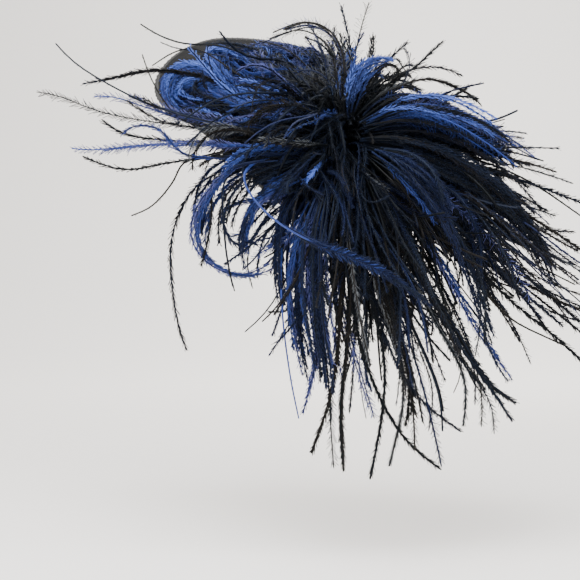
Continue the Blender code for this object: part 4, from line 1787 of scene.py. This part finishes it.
STREAM_PIECES = (
    StreamPiece("blue_swirls", "blue_feather", BLUE_SWIRLS, 101),
    StreamPiece("blue_loops", "blue_feather", BLUE_LOOPS, 102),
    StreamPiece("blue_crossing", "blue_feather", BLUE_CROSSING, 103),
    StreamPiece("black_wisps", "black_feather", BLACK_WISPS, 104),
    StreamPiece("black_fountain", "black_feather", BLACK_FOUNTAIN, 105),
    StreamPiece("black_tail", "black_feather", BLACK_TAIL, 106),
)


@dataclass(frozen=True)
class Plumage:
    """All the plumes: the bunches and the streams over them."""

    bunches: tuple[Bunch, ...] = BUNCHES
    fluff: tuple[BaseFluff, ...] = BASE_FLUFF
    streams: tuple[StreamPiece, ...] = STREAM_PIECES

    def build(self) -> None:
        """Build every piece of the plumage and dress it."""
        finishes = {
            "black_feather": FeatherFinish("black_feather", (0.55, 0.56, 0.60)).make(),
            "blue_feather": FeatherFinish("blue_feather", (0.30, 0.45, 1.0), sheen=0.06).make(),
        }
        numbers = {"black": 0, "blue": 0}
        for seed, bunch in enumerate(self.bunches, start=11):
            numbers[bunch.colour] += 1
            number = numbers[bunch.colour]
            bunch.dress(
                f"{bunch.colour}_barbs_{number}", f"{bunch.colour}_plume_{number}", seed,
                finishes[f"{bunch.colour}_feather"])
        for piece in (*self.fluff, *self.streams):
            piece.build(finishes[piece.slot])


@dataclass(frozen=True)
class BaseShell:
    """The base with its bound edge, the comb under it and the pad on it."""

    seat: Seat = SEAT
    piping_radius: float = 0.0013
    gap: float = 0.0003
    stitches: int = 132
    stitch_radius: float = 0.00024
    stitch_slant: float = 0.35
    stitch_lift: float = 0.00008
    stitch_corners: int = 5
    stitch_steps: int = 12
    wide_points: int = 56
    narrow_points: int = 28
    side_steps: int = 24

    def dress(self) -> None:
        """Finish the CAD nodes that stay."""
        felt = FeltFinish("base_felt", self.seat.flat_turn()).make()
        thread = ThreadFinish("piping_thread", (0.008, 0.008, 0.009), (0.038, 0.037, 0.036)).make()
        pad_felt = FeltFinish("pad_felt", self.seat.flat_turn(), pitch=0.0008).make()
        finishes = {"base": felt, "rim_piping": thread, "feather_pad": pad_felt, "comb": CombFinish().make()}
        for node, material in finishes.items():
            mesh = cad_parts[node].data
            mesh.materials.clear()
            mesh.materials.append(material)
            LOG.info("%s: dressed", node)

    def rim(self) -> list[Vector]:
        """The piping's middle line, as in the solid.

        Returns:
            Its points in order.
        """
        seat = self.seat
        wide_u, narrow_u = seat.ends()
        tangent = math.acos((seat.wide_radius - seat.narrow_radius) / (wide_u - narrow_u))
        wide_end = math.pi - tangent
        arcs = (
            (wide_u, seat.wide_radius, -wide_end, wide_end, self.wide_points),
            (narrow_u, seat.narrow_radius, wide_end, 2.0 * math.pi - wide_end, self.narrow_points),
        )
        rounds = []
        for centre_u, radius, start, end, count in arcs:
            angles = [start + (end - start) * step / (count - 1) for step in range(count)]
            rounds.append([Vector((centre_u + radius * math.cos(a), radius * math.sin(a))) for a in angles])
        flat = []
        for arc, following in zip(rounds, rounds[1:] + rounds[:1]):
            steps = range(1, self.side_steps)
            flat += arc + [arc[-1].lerp(following[0], step / self.side_steps) for step in steps]
        edge = [seat.point(u, v, seat.wall / 2.0) for u, v in flat]
        line = []
        for index, point in enumerate(edge):
            along = edge[(index + 1) % len(edge)] - edge[index - 1]
            outward = along.cross(point - seat.centre()).normalized()
            line.append(point + outward * (self.piping_radius + self.gap))
        return line

    def build_stitches(self) -> bpy.types.Object:
        """Build the thread loops round the piping.

        Returns:
            The finished piece.
        """
        line = self.rim()
        lengths = [0.0]
        for first, second in zip(line, line[1:] + line[:1]):
            lengths.append(lengths[-1] + (second - first).length)
        bm = bmesh.new()
        for number in range(self.stitches):
            wanted = lengths[-1] * number / self.stitches
            index = max(place for place, done in enumerate(lengths[:-1]) if done <= wanted)
            first, second = line[index], line[(index + 1) % len(line)]
            share = (wanted - lengths[index]) / (lengths[index + 1] - lengths[index])
            middle = first.lerp(second, share)
            along = (second - first).normalized()
            outward = along.cross(middle - self.seat.centre()).normalized()
            slant = Matrix.Rotation(self.stitch_slant, 3, outward)
            axis = slant @ along
            section = bmesh.ops.create_circle(
                bm, segments=self.stitch_corners, radius=self.stitch_radius)["verts"]
            turn = Matrix((outward, axis, outward.cross(axis))).transposed().to_4x4()
            spot = Matrix.Translation(middle + outward * (self.piping_radius + self.stitch_lift))
            bmesh.ops.transform(bm, verts=section, matrix=spot @ turn)
            edges = list({edge for vert in section for edge in vert.link_edges})
            bmesh.ops.spin(
                bm, geom=section + edges, cent=middle, axis=axis, angle=2.0 * math.pi,
                steps=self.stitch_steps, use_merge=True)
        bmesh.ops.remove_doubles(bm, verts=bm.verts, dist=1e-6)
        thread = ThreadFinish("stitch_thread", (0.016, 0.015, 0.015), (0.110, 0.105, 0.100), scale=1400.0)
        piece = place_piece("rim_stitches", smooth_mesh("rim_stitches", bm), thread.make())
        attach(piece, BODY)
        LOG.info("rim_stitches: %d stitches", self.stitches)
        return piece


@dataclass(frozen=True)
class Lamp:
    """One soft square light, with its power in watts and the spot that it faces."""

    name: str
    place: Spot
    size: float
    power: float
    colour: Spot
    target: Spot = (0.03, -0.03, -0.08)

    def hang(self) -> None:
        """Add the light to the scene."""
        data = bpy.data.lights.new(self.name, "AREA")
        data.shape = "SQUARE"
        data.size = self.size
        data.energy = self.power
        data.color = self.colour
        light = bpy.data.objects.new(self.name, data)
        light.location = self.place
        light.rotation_euler = (Vector(self.target) - light.location).to_track_quat("-Z", "Y").to_euler()
        bpy.context.scene.collection.objects.link(light)


LAMPS = (
    Lamp("key_light", (-0.75, -0.85, 0.75), 0.6, 13.0, (1.0, 0.98, 0.95)),
    Lamp("fill_light", (0.9, -0.9, 0.25), 1.0, 2.4, (0.95, 0.97, 1.0)),
    Lamp("back_light", (0.35, 0.85, 0.75), 0.9, 9.0, (1.0, 0.97, 0.93)),
    Lamp("top_light", (0.02, -0.36, 0.50), 0.42, 9.5, (0.97, 0.98, 1.0)),
    Lamp("backdrop_light", (0.5, 1.1, 1.3), 1.6, 50.0, (1.0, 0.99, 0.97), (0.2, 3.2, 0.3)),
)


@dataclass(frozen=True)
class Studio:
    """A plain pale floor and backdrop, soft light, and the camera."""

    floor_height: float = -0.235
    front: float = 3.0
    depth: float = 3.2
    height: float = 2.4
    half_width: float = 5.0
    bend: float = 2.0
    bend_steps: int = 12
    paint: Spot = (0.90, 0.875, 0.85)
    air: Spot = (0.93, 0.92, 0.90)
    air_strength: float = 1.35
    nearest: float = 0.02
    farthest: float = 50.0

    def build_floor(self) -> None:
        """Build the floor that curves up into the backdrop."""
        bm = bmesh.new()
        front = [bm.verts.new((side * self.half_width, -self.front, self.floor_height)) for side in (-1.0, 1.0)]
        edges = [bm.edges.new(front)]
        steps = [(0.0, self.depth + self.front - self.bend, 0.0)]
        for step in range(self.bend_steps):
            start, end = (math.pi / 2.0 * (step + extra) / self.bend_steps for extra in (0, 1))
            back, up = math.sin(end) - math.sin(start), math.cos(start) - math.cos(end)
            steps.append((0.0, self.bend * back, self.bend * up))
        steps.append((0.0, 0.0, self.height))
        for move in steps:
            grown = bmesh.ops.extrude_edge_only(bm, edges=edges)["geom"]
            verts = [item for item in grown if isinstance(item, bmesh.types.BMVert)]
            bmesh.ops.translate(bm, verts=verts, vec=move)
            edges = [item for item in grown if isinstance(item, bmesh.types.BMEdge)
                     and all(vert in verts for vert in item.verts)]
        board = Board("studio_paint")
        shader = board.node("ShaderNodeBsdfPrincipled", {}, {
            "Base Color": (*self.paint, 1.0), "Roughness": 0.9, "Specular IOR Level": 0.1})
        floor = place_piece("studio_floor", smooth_mesh("studio_floor", bm), board.finish(shader))

    def build_camera(self, sight: Sight) -> None:
        """Set the camera at the photograph's viewpoint.

        Args:
            sight: The viewpoint.
        """
        data = bpy.data.cameras.new("camera")
        data.lens = sight.lens
        data.sensor_width = sight.sensor
        data.clip_start = self.nearest
        data.clip_end = self.farthest
        camera = bpy.data.objects.new("camera", data)
        camera.location = sight.eye
        camera.rotation_euler = (math.pi / 2.0, 0.0, 0.0)
        bpy.context.scene.collection.objects.link(camera)
        bpy.context.scene.camera = camera

    def build(self, sight: Sight) -> None:
        """Build the whole studio.

        Args:
            sight: The viewpoint.
        """
        self.build_floor()
        for lamp in LAMPS:
            lamp.hang()
        world = bpy.data.worlds.new("studio_air")
        world.use_nodes = True
        air = world.node_tree.nodes["Background"]
        air.inputs["Color"].default_value = (*self.air, 1.0)
        air.inputs["Strength"].default_value = self.air_strength
        bpy.context.scene.world = world
        self.build_camera(sight)


def main() -> None:
    """Build the fascinator's looks in order, then its studio."""
    logging.basicConfig(level=logging.INFO, format="%(name)s: %(message)s")
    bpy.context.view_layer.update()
    shell = BaseShell()
    shell.dress()
    shell.build_stitches()
    Plumage().build()
    Studio().build(SIGHT)


if __name__ == "__main__":
    main()
